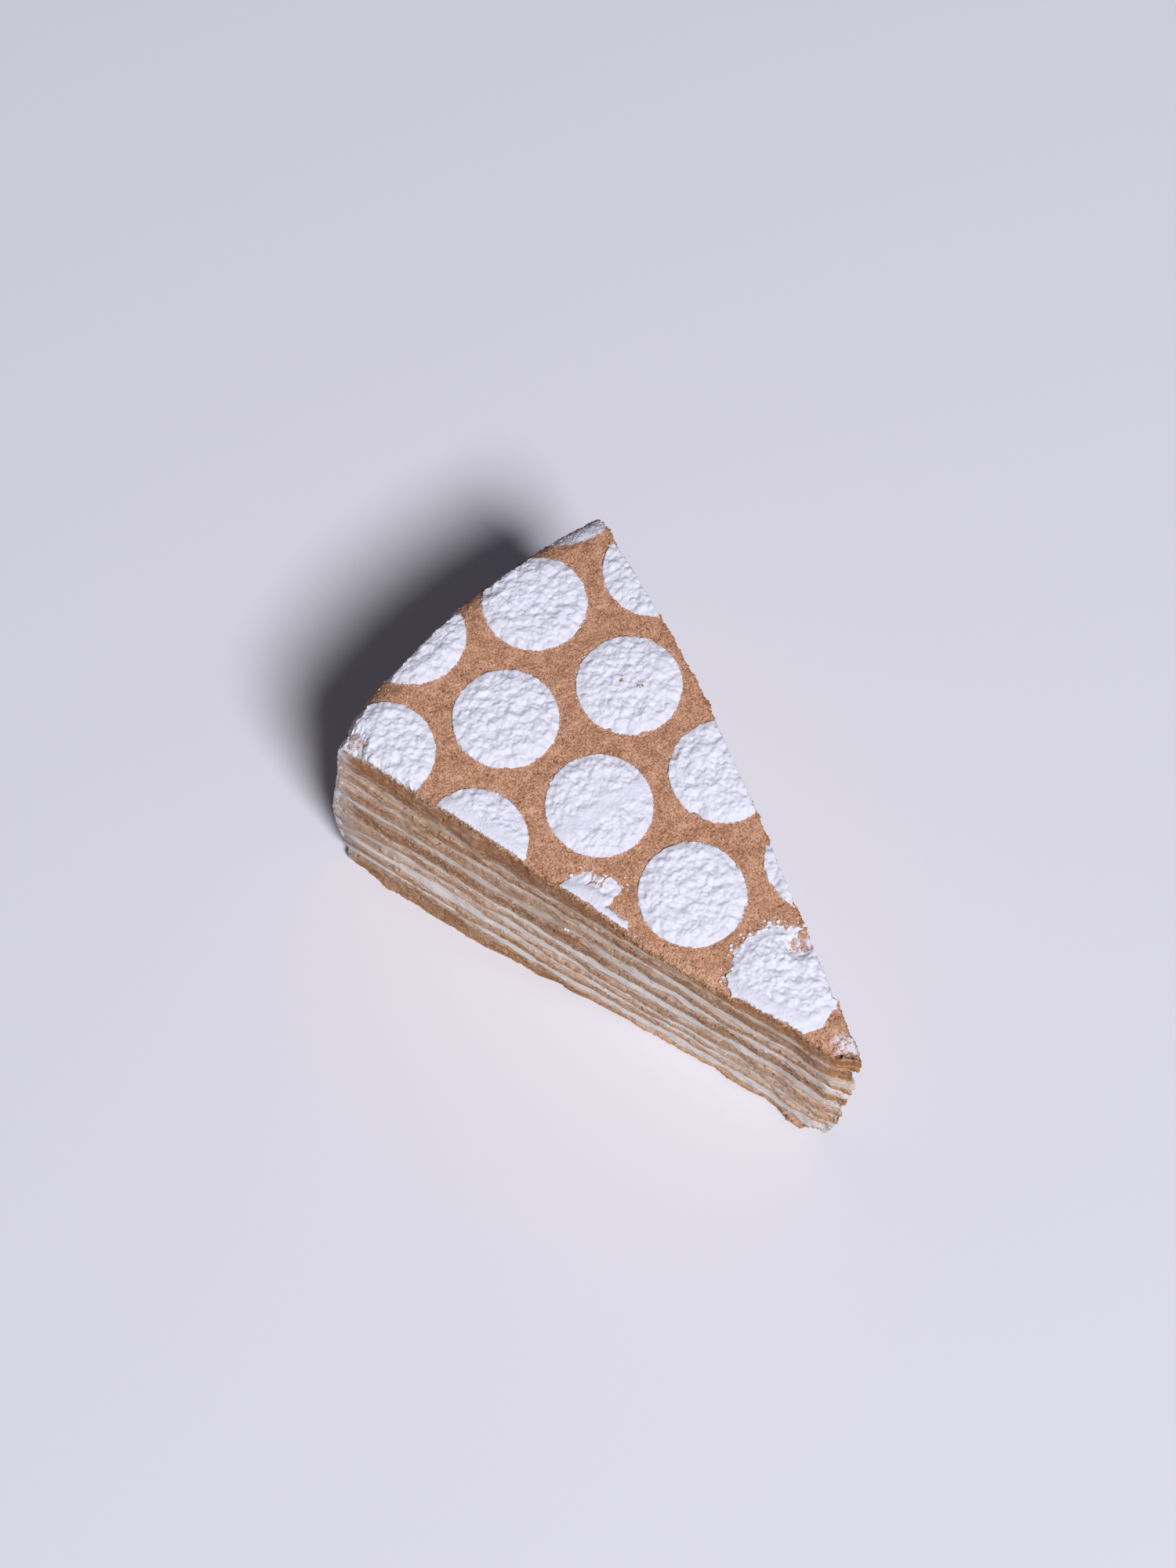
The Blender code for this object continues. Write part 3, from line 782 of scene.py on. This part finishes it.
def worn_away(shape, number, bent):
    """How far parts of a damaged disc sink among the crumbs."""
    back = front_depth(shape)
    rough = shape.noise(1.4 * MM, 3.0, 0.7) * (1.6 * MM)
    if number == SCRAPED:
        limit = shape.ramp(shape.x, -48.5 * MM, -43.5 * MM, 4.6 * MM, 0.4 * MM)
        return shape.ramp(back + rough - limit, -1.2 * MM, 1.0 * MM, -2.1 * MM, 0.0)
    if number == PRESSED:
        return shape.ramp(shape.x + rough, -29.0 * MM, -27.5 * MM, -1.2 * MM, 0.0)
    if number == BROKEN:
        seams = shape.cells(bent, 3.4 * MM, "DISTANCE_TO_EDGE")
        seams = shape.ramp(seams, 0.01, 0.045, -1.0 * MM, 0.0)
        seams = seams * shape.ramp(back, 3.2 * MM, 4.2 * MM)
        crumbled = shape.ramp(shape.x + rough, 7.0 * MM, 8.0 * MM)
        crumbled = crumbled * shape.ramp(back + rough, 1.6 * MM, 2.8 * MM)
        return seams - crumbled * (2.0 * MM)
    if number == HEAPED:
        heaps = shape.noise(2.6 * MM, 2.0, 0.6, place=bent) * (0.55 * MM)
        heaps = heaps * shape.ramp(back, 3.0 * MM, 6.0 * MM)
        return heaps - near(shape, THINNED, 1.0 * MM, 3.6 * MM) * (1.5 * MM)
    return 0.0


def rounding(shape, number, centre, reach):
    """How far a disc's edge is off the stencil's circle."""
    edge = shape.ramp(reach, 0.90 * DOT_RADIUS, 0.97 * DOT_RADIUS)
    uneven = 0.0
    if number == HEAPED:
        uneven = shape.noise(2.4 * MM, 2.0, 0.6, shift=(0.01, 0.0, 0.0))
        uneven = uneven * (1.5 * MM) + 0.4 * MM
    return shape.scaled(away_from(shape, centre), (DOT_RADIUS + uneven - reach) * edge)


def make_dot(number, material):
    """One disc of icing sugar, lumpy on top and ragged at its edge."""
    node = f"sugar_dot_{number}"
    piece = welded_copy(f"sugar_{number}", node)
    remesh(piece, DOT_VOXEL)
    soften(piece, 8)
    thin_out(piece, lambda middle, normal: normal.z < -0.6)
    if number == BROKEN:
        slide_back(piece)
    shape = Shape("sugar")
    x, y, z = shape.parts(shape.normal)
    centre = dot_centre(DOT_PLACES[number - 1])
    reach = distance(shape, centre)
    bend = shape.scaled(shape.normal, shape.noise(2.0 * MM) * (0.5 * MM))
    bent = shape.total(shape.place, bend)
    swell = shape.noise(3.2 * MM, 1.0, place=bent) * (0.45 * MM)
    lumps = shape.noise(1.7 * MM, 2.0, 0.5, place=bent) * (0.70 * MM)
    clods = shape.cells(bent, 1.1 * MM) * (-0.30 * MM)
    calm = 1.0 - (pressed_edge(shape, number) + wiped_band(shape, number)) * 0.85
    powder = shape.noise(0.45 * MM, 2.0, 0.6) * (0.17 * MM)
    eaves = shape.ramp(reach, DOT_RADIUS - 1.8 * MM, DOT_RADIUS - 0.1 * MM, 0.0, -0.45 * MM)
    if number in (HEAPED, PRESSED):
        eaves = eaves + shape.ramp(front_depth(shape), 0.0, 1.5 * MM, -0.3 * MM, 0.0)
    top = shape.ramp(z, -0.2, 0.7)
    rise = ((swell + lumps + clods) * calm + powder) * top - 0.10 * MM + eaves
    sink = shape.ramp(z, -0.9, -0.5, -0.6 * MM, 0.0) + worn_away(shape, number, bent)
    side = shape.fall(abs(z), 0.3, 0.95)
    worn = 2.0 if number == HEAPED else 0.8
    ragged = (shape.noise(1.2 * MM, 2.0, 0.7) * (0.5 * MM * worn)
              + shape.noise(0.45 * MM, 2.0) * (0.4 * MM))
    flat = shape.vector("NORMALIZE", shape.join(x, y, 0.0))
    moved = shape.total(shape.scaled(flat, (ragged + 0.05 * MM) * side),
                        shape.join(0.0, 0.0, rise + sink))
    if number != BROKEN:
        moved = shape.total(moved, rounding(shape, number, centre, reach))
    shape.push(piece, moved)
    settle(piece, material, "icing_sugar", node)
    return piece


def slide_back(piece):
    """Spreads the broken disc away from the front cut."""
    shape = Shape("slide")
    back = shape.ramp(front_depth(shape), 0.0, 3.5 * MM, 0.0, 2.8 * MM)
    aside = shape.ramp(shape.x, -2.0 * MM, 6.0 * MM, 0.8 * MM, 0.0)
    shape.push(piece, shape.total(shape.scaled(INWARD, back), shape.join(aside, 0.0, 0.0)))


# Scattered crumbs -----------------

def grain(name, seed, squash, fine):
    """One small angular crumb, a unit across."""
    if fine:
        bpy.ops.mesh.primitive_cube_add(size=0.62)
    else:
        bpy.ops.mesh.primitive_ico_sphere_add(subdivisions=1, radius=0.5)
    piece = bpy.context.object
    piece.name = name
    edit(piece)
    bpy.ops.mesh.select_all(action="SELECT")
    bpy.ops.transform.vertex_random(offset=0.16, seed=seed)
    bpy.ops.transform.resize(value=(1.0, 0.8, squash))
    close()
    return piece


def grain_collection(name, count, fine):
    """Several crumb shapes to scatter."""
    collection = bpy.data.collections.new(name)
    bpy.context.scene.collection.children.link(collection)
    for number in range(count):
        piece = grain(f"{name}_{number}", number + 1, 0.62 + 0.05 * number, fine)
        for other in list(piece.users_collection):
            other.objects.unlink(piece)
        collection.objects.link(piece)
    return collection


def clear_collection(collection):
    """Removes a collection and all in it."""
    for piece in list(collection.objects):
        bpy.data.objects.remove(piece)
    bpy.data.collections.remove(collection)


def joined(shape, pieces):
    """The meshes of several pieces as one."""
    node = shape.tree.nodes.new("GeometryNodeJoinGeometry")
    for piece in pieces:
        mesh = shape.node("GeometryNodeObjectInfo", {"transform_space": "ORIGINAL"},
                          {"Object": piece}, "Geometry")
        shape.tree.links.new(mesh.socket, node.inputs[0])
    return Value(shape, node.outputs[0])


def nearness(shape, pieces):
    """Distance to the nearest of several pieces."""
    return shape.node("GeometryNodeProximity", {"target_element": "FACES"},
                      {"Geometry": joined(shape, pieces)}, "Distance")


def random_number(shape, seed):
    """A random number from 0 to 1 for each crumb."""
    return shape.node("FunctionNodeRandomValue", {"data_type": "FLOAT"},
                      {2: 0.0, 3: 1.0, "Seed": seed}, 1)


def scatter(name, surfaces, grains, density, smallest, largest, sunk, seed, material, slot,
            chance, *others):
    """Crumbs strewn over some pieces, as one mesh; chance takes the nodes and other pieces."""
    piece = bpy.data.objects.new(name, bpy.data.meshes.new(name))
    bpy.context.scene.collection.objects.link(piece)
    shape = Shape(name)
    given = {"Mesh": joined(shape, surfaces), "Density": chance(shape, *others) * (density / MM ** 2),
             "Seed": seed}
    spread_out = shape.node("GeometryNodeDistributePointsOnFaces", {"distribute_method": "RANDOM"},
                            given, "Points")
    normal = Value(shape, spread_out.socket.node.outputs["Normal"])
    depth = shape.scaled(normal, -sunk * MM)
    spots = shape.node("GeometryNodeSetPosition", None, {"Geometry": spread_out, "Offset": depth})
    kinds = shape.node("GeometryNodeCollectionInfo", {"transform_space": "ORIGINAL"},
                       {"Collection": grains, "Separate Children": True, "Reset Children": True})
    turn = shape.node("FunctionNodeRandomValue", {"data_type": "FLOAT_VECTOR"},
                      {"Min": (0.0, 0.0, 0.0), "Max": (6.28, 6.28, 6.28), "Seed": seed + 1})
    size = random_number(shape, seed + 2)
    size = size * size * ((largest - smallest) * MM) + smallest * MM
    copies = shape.node("GeometryNodeInstanceOnPoints", None,
                        {"Points": spots, "Instance": kinds, "Pick Instance": True,
                         "Rotation": turn, "Scale": shape.join(size, size, size)})
    toned = shape.node("GeometryNodeStoreNamedAttribute",
                       {"data_type": "FLOAT", "domain": "INSTANCE"},
                       {"Geometry": copies, "Name": "tone", "Value": random_number(shape, seed + 3)})
    shape.apply(piece, shape.node("GeometryNodeRealizeInstances", None, {"Geometry": toned}))
    settle(piece, material, slot)


def upward(shape):
    """Upper surfaces."""
    return shape.ramp(shape.parts(shape.normal)[2], 0.2, 0.5)


def on_top(shape, dots):
    """The top, between the discs."""
    return upward(shape) * shape.ramp(nearness(shape, dots), 0.0, 0.25 * MM)


def on_side(shape):
    """The round outer side."""
    x, y, z = shape.parts(shape.normal)
    level = shape.fall(x, -0.6, -0.35) * shape.fall(z, 0.35, 0.6)
    return level * shape.fall(rim_depth(shape), 0.7 * MM, 1.2 * MM)


def on_cut(shape):
    """The layers' cut faces, mostly the lowest one and where layers meet."""
    x, y, z = shape.parts(shape.normal)
    level = shape.fall(abs(z), 0.4, 0.7) * shape.ramp(x, -0.7, -0.5)
    crumbled = near(shape, CRUMBLED, 1.5 * MM, 4.0 * MM) * 3.0
    crumbled = crumbled + shape.ramp(shape.z, 3.5 * MM, 7.0 * MM, 1.3, 0.0)
    edge = shape.ramp(abs(shape.attribute("level") - 0.5), 0.25, 0.5)
    return level * (0.6 - smear_mask(shape) * 0.5 + edge * 0.6 + crumbled) * 0.25


def on_edge(shape):
    """The crumb bed's edges at the two cuts and the tip."""
    x, y, z = shape.parts(shape.normal)
    end = x * shape.ramp(shape.x, 0.8 * HIGH.x, 0.9 * HIGH.x)
    return shape.ramp(shape.math("MAXIMUM", abs(y), end), 0.5, 0.7)


def on_frayed(shape):
    """The frayed spot of the far cut."""
    return on_edge(shape) * near(shape, FRAYED, 3.0 * MM, 8.0 * MM)


def on_front_edge(shape):
    """Patches along the upper edge of the front cut, mostly near the outer side."""
    front = shape.fall(front_depth(shape), 0.5 * MM, 2.0 * MM)
    front = front * shape.ramp(shape.z, 62.0 * MM, 64.0 * MM)
    patches = shape.ramp(shape.noise(3.0 * MM, 2.0), -0.2, 0.3)
    return front * patches * shape.ramp(abs(shape.x + 27.0 * MM), 17.0 * MM, 22.0 * MM, 1.0, 0.15)


def beside_hole(shape):
    """Beside the hole in the front cut."""
    return near(shape, LUMP, 0.6 * MM, 1.1 * MM)


def on_strewn(shape):
    """Two spots on the strewn disc."""
    away = [distance(shape, spot) for spot in FALLEN]
    return upward(shape) * shape.fall(shape.math("MINIMUM", *away), 0.5 * MM, 0.7 * MM)


def beside_dots(shape, dots):
    """Close round the discs, on the tip and thinly elsewhere."""
    by = shape.fall(nearness(shape, dots), 0.0, 1.2 * MM)
    spots = near(shape, TIP_SUGAR, 1.5 * MM, 4.0 * MM)
    spots = spots + near(shape, THINNED, 1.0 * MM, 3.0 * MM) * 0.5
    worn = shape.ramp(nearness(shape, [dots[BROKEN - 1]]), 0.0, 2.5 * MM, 0.15, 0.0)
    facing = upward(shape) + shape.ramp(front_depth(shape), 0.5 * MM, 2.0 * MM, 0.25, 0.0)
    return facing * (by * by * by * 0.8 + spots * 0.5 + worn + 0.008)


def by_worn_dots(shape, dots):
    """Beside the heaped and the broken disc."""
    worn = [dots[HEAPED - 1], dots[BROKEN - 1]]
    by = shape.fall(nearness(shape, worn), 0.0, 2.2 * MM)
    more = shape.ramp(shape.x, 12.0 * MM, 25.0 * MM, 0.5, 2.0)
    return upward(shape) * by * more * shape.fall(shape.x, 30.0 * MM, 38.0 * MM)


def scatter_crumbs(bed, biscuits, creams, dots, loose, dark, sugar):
    """Crumbs on the top, the outer side and the cuts, and sugar that fell beside its discs."""
    fine = grain_collection("fine_grain", 5, True)
    coarse = grain_collection("coarse_grain", 5, False)
    layers = biscuits + creams
    strewn = [dots[STREWN - 1]]
    # Name, surfaces, kind of grain, crumbs a square millimetre, smallest, largest and how deep
    # they sit in millimetres, seed, material, slot, where they lie and the pieces that decide it
    for row in (
        ("top_crumbs", [bed], fine, 3.2, 0.26, 0.60, 0.08, 3, loose, "crumbs", on_top, dots),
        ("top_lumps", [bed], coarse, 0.7, 0.45, 0.95, 0.12, 5, loose, "crumbs", on_top, dots),
        ("side_crumbs", [bed], fine, 2.8, 0.30, 0.75, 0.05, 9, loose, "crumbs", on_side),
        ("cut_crumbs", biscuits, fine, 3.0, 0.18, 0.55, 0.08, 21, dark, "biscuit", on_cut),
        ("cream_crumbs", creams, fine, 0.9, 0.15, 0.40, 0.08, 23, dark, "biscuit", on_cut),
        ("cream_lumps", layers, coarse, 2.5, 0.70, 1.50, 0.0, 71, sugar, "cream", beside_hole),
        ("edge_crumbs", [bed], fine, 4.5, 0.25, 0.80, 0.0, 27, dark, "crumbs", on_edge),
        ("frayed_crumbs", [bed], coarse, 1.5, 0.50, 1.50, 0.0, 41, loose, "crumbs", on_frayed),
        ("front_lumps", [bed], coarse, 1.6, 0.35, 1.00, 0.0, 51, dark, "crumbs", on_front_edge),
        ("fallen_crumbs", strewn, coarse, 4.0, 0.40, 0.80, 0.0, 63, dark, "crumbs", on_strewn),
        ("sugar_specks", [bed], fine, 3.0, 0.14, 0.42, 0.0, 14, sugar, "icing_sugar",
         beside_dots, dots),
        ("sugar_clumps", [bed], coarse, 0.45, 0.3, 1.6, 0.0, 33, sugar, "icing_sugar",
         by_worn_dots, dots),
    ):
        scatter(*row)
    clear_collection(fine)
    clear_collection(coarse)


# Materials ------------------------

def biscuit_tones(finish, tone):
    """The colours of baked honey biscuit, dark to pale."""
    return finish.node("ShaderNodeValToRGB", {"stops": BISCUIT_STOPS}, {"Fac": tone})


def lip(finish):
    """The upper and lower edges of a layer's cut face."""
    ragged = finish.noise(0.8 * MM, 3.0, 0.75, stretch=(2.0, 2.0, 1.0)) * 0.4
    return finish.ramp(abs(finish.attribute("level") - 0.5) + ragged, 0.28, 0.55)


def biscuit_finish():
    """Baked honey biscuit with dark flecks, pale smears of cream, and painted shade under the top and
    in the hole.
    """
    finish = Finish("biscuit_finish", Roughness=0.85, Specular_IOR_Level=0.25)
    dirt = finish.attribute("dirt")
    speck = finish.noise(0.5 * MM, 3.0, 0.75)
    patch = finish.noise(2.4 * MM, 2.0, 0.6, stretch=(2.0, 2.0, 1.0))
    tone = speck * 1.1 + strata(finish) * 0.35 + patch * (dirt * 0.4 + 0.3) - dirt * 0.5
    colour = biscuit_tones(finish, finish.ramp(tone, -1.35, 0.45))
    toasted = finish.ramp(finish.z, 2.5 * MM, 7.0 * MM, 0.6, 0.0)
    at_tip = towards_tip(finish, 8.0 * MM, 4.0 * MM)
    at_tip = at_tip * finish.ramp(finish.z, 50.0 * MM, 58.0 * MM, 0.45, 0.9)
    colour = finish.blend(finish.math("MAXIMUM", toasted, at_tip), colour, TOASTED)
    heaps = finish.noise(0.9 * MM, 4.0, 0.8, stretch=(1.8, 1.8, 1.0), shift=(0.05, 0.0, 0.0))
    heaps = heaps + finish.noise(3.0 * MM, 1.0, stretch=(2.0, 2.0, 1.0)) * 0.3
    heaps = heaps + finish.attribute("level") * 0.25
    # Painted shade: more dark flecks just under the top, for the shade below the crumb bed's edge
    heaps = heaps + finish.ramp(finish.z, 60.5 * MM, 64.5 * MM, 0.0, 0.3)
    heaps = heaps + finish.ramp(finish.z, 2.0 * MM, 5.0 * MM, 0.12, 0.0)
    fleck_and_shade = finish.ramp(heaps + dirt * 0.4, 0.40, 0.62)
    colour = finish.blend(fleck_and_shade * 0.85, colour, FLECK_AND_SHADE)
    # Painted shade: the inside of the hole is coloured dark red-brown
    colour = finish.blend(hollow(finish), colour, HOLE_SHADE)
    smear = smear_mask(finish) * finish.ramp(dirt, 0.0, 1.0, 0.65, 0.15) + lip(finish) * 0.4
    colour = finish.blend(smear, colour, SMEARED)
    ended = finish.ramp(rim_depth(finish) + patch * (3.5 * MM), 1.0 * MM, 6.0 * MM, 0.8, 0.0)
    coated = finish.blend(finish.ramp(finish.z, 56.0 * MM, 61.0 * MM), COATED, COATED_HIGH)
    finish.feed("Base Color", finish.blend(ended, colour, coated))
    finish.bump(speck, 0.12 * MM)
    return finish.material


def loose_biscuit_finish():
    """Crumbs torn from the biscuit, each its own tone, golden near the base."""
    finish = Finish("loose_biscuit_finish", Roughness=0.85, Specular_IOR_Level=0.2)
    tone = finish.attribute("tone")
    low = finish.ramp(finish.z, 4.0 * MM, 8.0 * MM, 0.6, 0.0)
    golden = finish.blend(tone, GOLDEN_DARK, GOLDEN_PALE)
    baked = biscuit_tones(finish, tone * 0.7 + 0.25)
    finish.feed("Base Color", finish.blend(low, baked, golden))
    return finish.material


def cream_finish():
    """Soured cream, dragged thin over crumbs in places."""
    finish = Finish("cream_finish", Roughness=0.5, Subsurface_Weight=0.2, Subsurface_Scale=0.002,
                    Subsurface_Radius=(1.0, 0.8, 0.6), Specular_IOR_Level=0.4)
    crumbs = finish.ramp(finish.noise(0.7 * MM, 3.0, 0.7), 0.05, 0.45)
    streaks = strata(finish, (0.1, 0.0, 0.0)) * 0.7 + finish.attribute("dirt")
    streaks = finish.ramp(streaks, 0.0, 1.1)
    colour = finish.blend(streaks, CREAM_CLEAN, CREAM_DIRTY)
    tan = crumbs * finish.ramp(streaks, 0.0, 1.0, 0.15, 0.7) + lip(finish) * 0.6
    finish.feed("Base Color", finish.blend(tan, colour, CREAM_CRUMBS))
    finish.bump(strata(finish), 0.12 * MM)
    return finish.material


def coat_finish():
    """Cream round the outer side, with crumbs dragged into it along the layers."""
    finish = Finish("coat_finish", Roughness=0.55, Specular_IOR_Level=0.35)
    patch = finish.noise(2.2 * MM, 3.0, 0.7, stretch=(3.0, 3.0, 1.0))
    fine = finish.noise(0.8 * MM, 3.0, 0.7)
    colour = finish.blend(finish.ramp(fine, -0.3, 0.5), COAT_PALE, COAT_DULL)
    tan = finish.ramp(patch + fine * 0.3, 0.0, 0.35, 0.0, 0.85) * (1.0 - bare_corner(finish) * 0.8)
    finish.feed("Base Color", finish.blend(tan, colour, COAT_CRUMBS))
    finish.bump(fine, 0.15 * MM)
    return finish.material


def dusting(finish):
    """Where sugar fell on the crumbs of the shoulder, on the tip and round the thinned spot."""
    ragged = finish.noise(0.8 * MM, 3.0, 0.7) * (0.9 * MM)
    places = [DOT_PLACES[number - 1] for number in SHOULDER_DOTS] + [SLIVER]
    dusted = in_dots(finish, places, 0.3 * MM, -0.1 * MM, ragged)
    spots = near(finish, TIP_SUGAR, 1.5 * MM, 4.0 * MM)
    spots = spots * finish.ramp(ragged, -0.2 * MM, 0.1 * MM)
    spots = spots + near(finish, THINNED, 0.5 * MM, 3.0 * MM) * 0.4
    return dusted * finish.ramp(finish.z + ragged * 3.0, 58.5 * MM, 61.5 * MM) + spots


def crumb_finish(name, loose):
    """Golden brown crumbs, white where sugar dusted them; each loose one has its own tone."""
    finish = Finish(name, Roughness=0.85, Specular_IOR_Level=0.2)
    back = front_depth(finish)
    patch = finish.noise(2.6 * MM, 2.0)
    speck = finish.noise(0.4 * MM, 2.0, 0.7)
    tone = finish.attribute("tone") if loose else finish.ramp(speck, -0.5, 0.5)
    colour = finish.blend(finish.ramp(tone + patch * 0.45, -0.1, 1.1), CRUMB_DARK, CRUMB_PALE)
    # Painted shade: on the bed's cut faces the crumbs take darker biscuit browns, for the shade under
    # the top's edge
    if not loose:
        baked = biscuit_tones(finish, tone * 0.7 + 0.1)
        colour = finish.blend(finish.attribute("cut"), colour, baked)
    pressed = finish.ramp(back + patch * (2.0 * MM), 1.0 * MM, 3.5 * MM, 0.6, 0.0)
    pressed = pressed * finish.fall(abs(finish.x - 26.0 * MM), 5.0 * MM, 10.0 * MM)
    colour = finish.blend(pressed * finish.ramp(speck, -0.2, 0.3), colour, CRUMB_PRESSED)
    limit = finish.ramp(finish.x, -48.5 * MM, -43.0 * MM, 4.8 * MM, 0.9 * MM)
    scraped = finish.fall(back + patch * (1.5 * MM) - limit, -1.0 * MM, 0.8 * MM)
    scraped = scraped * finish.fall(finish.x, -34.0 * MM, -30.0 * MM)
    bits = finish.noise(0.9 * MM, 3.0, 0.75, stretch=(1.6, 1.0, 1.0), shift=(0.02, 0.0, 0.0))
    bare = finish.blend(finish.ramp(bits, -0.35, -0.20), BARE_DARK, BARE_PALE)
    colour = finish.blend(scraped * 0.85, colour, bare)
    white = dusting(finish) * (1.0 - scraped * finish.fall(bits, -0.02, 0.13))
    finish.feed("Base Color", finish.blend(white * 0.92, colour, DUSTED))
    finish.bump(speck, 0.1 * MM)
    return finish.material


def sugar_finish():
    """Icing sugar, matt and powdery."""
    finish = Finish("sugar_finish", Roughness=0.9, Specular_IOR_Level=0.2)
    powder = finish.noise(0.35 * MM, 3.0, 0.7)
    finish.feed("Base Color", finish.blend(finish.ramp(powder, -0.6, 0.6), SUGAR_DULL, SUGAR_WHITE))
    finish.bump(powder, 0.08 * MM)
    return finish.material


# Stage ----------------------------

def make_floor():
    """A plain pale floor."""
    bpy.ops.mesh.primitive_plane_add(size=FLOOR_SIZE)
    floor = bpy.context.object
    floor.name = "floor"
    finish = Finish("floor_finish", Base_Color=FLOOR_COLOUR, Roughness=0.6, Specular_IOR_Level=0.2)
    floor.data.materials.append(finish.material)


def make_lights():
    """One soft key light and a dim sky."""
    turn = Vector((math.cos(KEY_TURN), math.sin(KEY_TURN), 0.0)) * math.cos(KEY_HEIGHT)
    way = turn + Vector((0.0, 0.0, math.sin(KEY_HEIGHT)))
    light = bpy.data.lights.new("key", "AREA")
    light.shape = "DISK"
    light.size = KEY_SIZE
    light.energy = KEY_POWER
    light.color = LIGHT_COLOUR
    lamp = bpy.data.objects.new("key", light)
    lamp.location = way * KEY_DISTANCE
    lamp.rotation_euler = way.to_track_quat("Z", "Y").to_euler()
    bpy.context.scene.collection.objects.link(lamp)
    world = bpy.data.worlds.new("sky")
    world.use_nodes = True
    background = world.node_tree.nodes["Background"]
    background.inputs["Color"].default_value = (*SKY_COLOUR, 1.0)
    background.inputs["Strength"].default_value = SKY_POWER
    bpy.context.scene.world = world


def make_camera():
    """The camera, nearly overhead."""
    camera = bpy.data.cameras.new("camera")
    camera.lens = CAMERA_LENS
    holder = bpy.data.objects.new("camera", camera)
    turned = Matrix.Rotation(CAMERA_TURN, 4, "Z") @ Matrix.Rotation(CAMERA_TILT, 4, "X")
    rolled = turned @ Matrix.Rotation(CAMERA_ROLL, 4, "Z")
    holder.matrix_world = Matrix.Translation(CAMERA_PLACE) @ rolled
    bpy.context.scene.collection.objects.link(holder)
    bpy.context.scene.camera = holder


def main():
    """Builds the dressed cake and its stage."""
    biscuit = biscuit_finish()
    cream = cream_finish()
    crumbs = crumb_finish("crumb_finish", False)
    loose = crumb_finish("loose_crumb_finish", True)
    dark = loose_biscuit_finish()
    sugar = sugar_finish()
    biscuits = [make_layer("biscuit", number, shape_biscuit, biscuit)
                for number in range(1, BISCUITS + 1)]
    creams = [make_layer("cream", number, shape_cream, cream)
              for number in range(1, CREAMS + 1)]
    make_cream_coat(coat_finish())
    bed = make_crumb_coat(crumbs)
    dots = [make_dot(number, sugar) for number in range(1, len(DOT_PLACES) + 1)]
    scatter_crumbs(bed, biscuits, creams, dots, loose, dark, sugar)
    make_floor()
    make_lights()
    make_camera()
    bpy.context.scene.view_settings.view_transform = "Standard"


main()
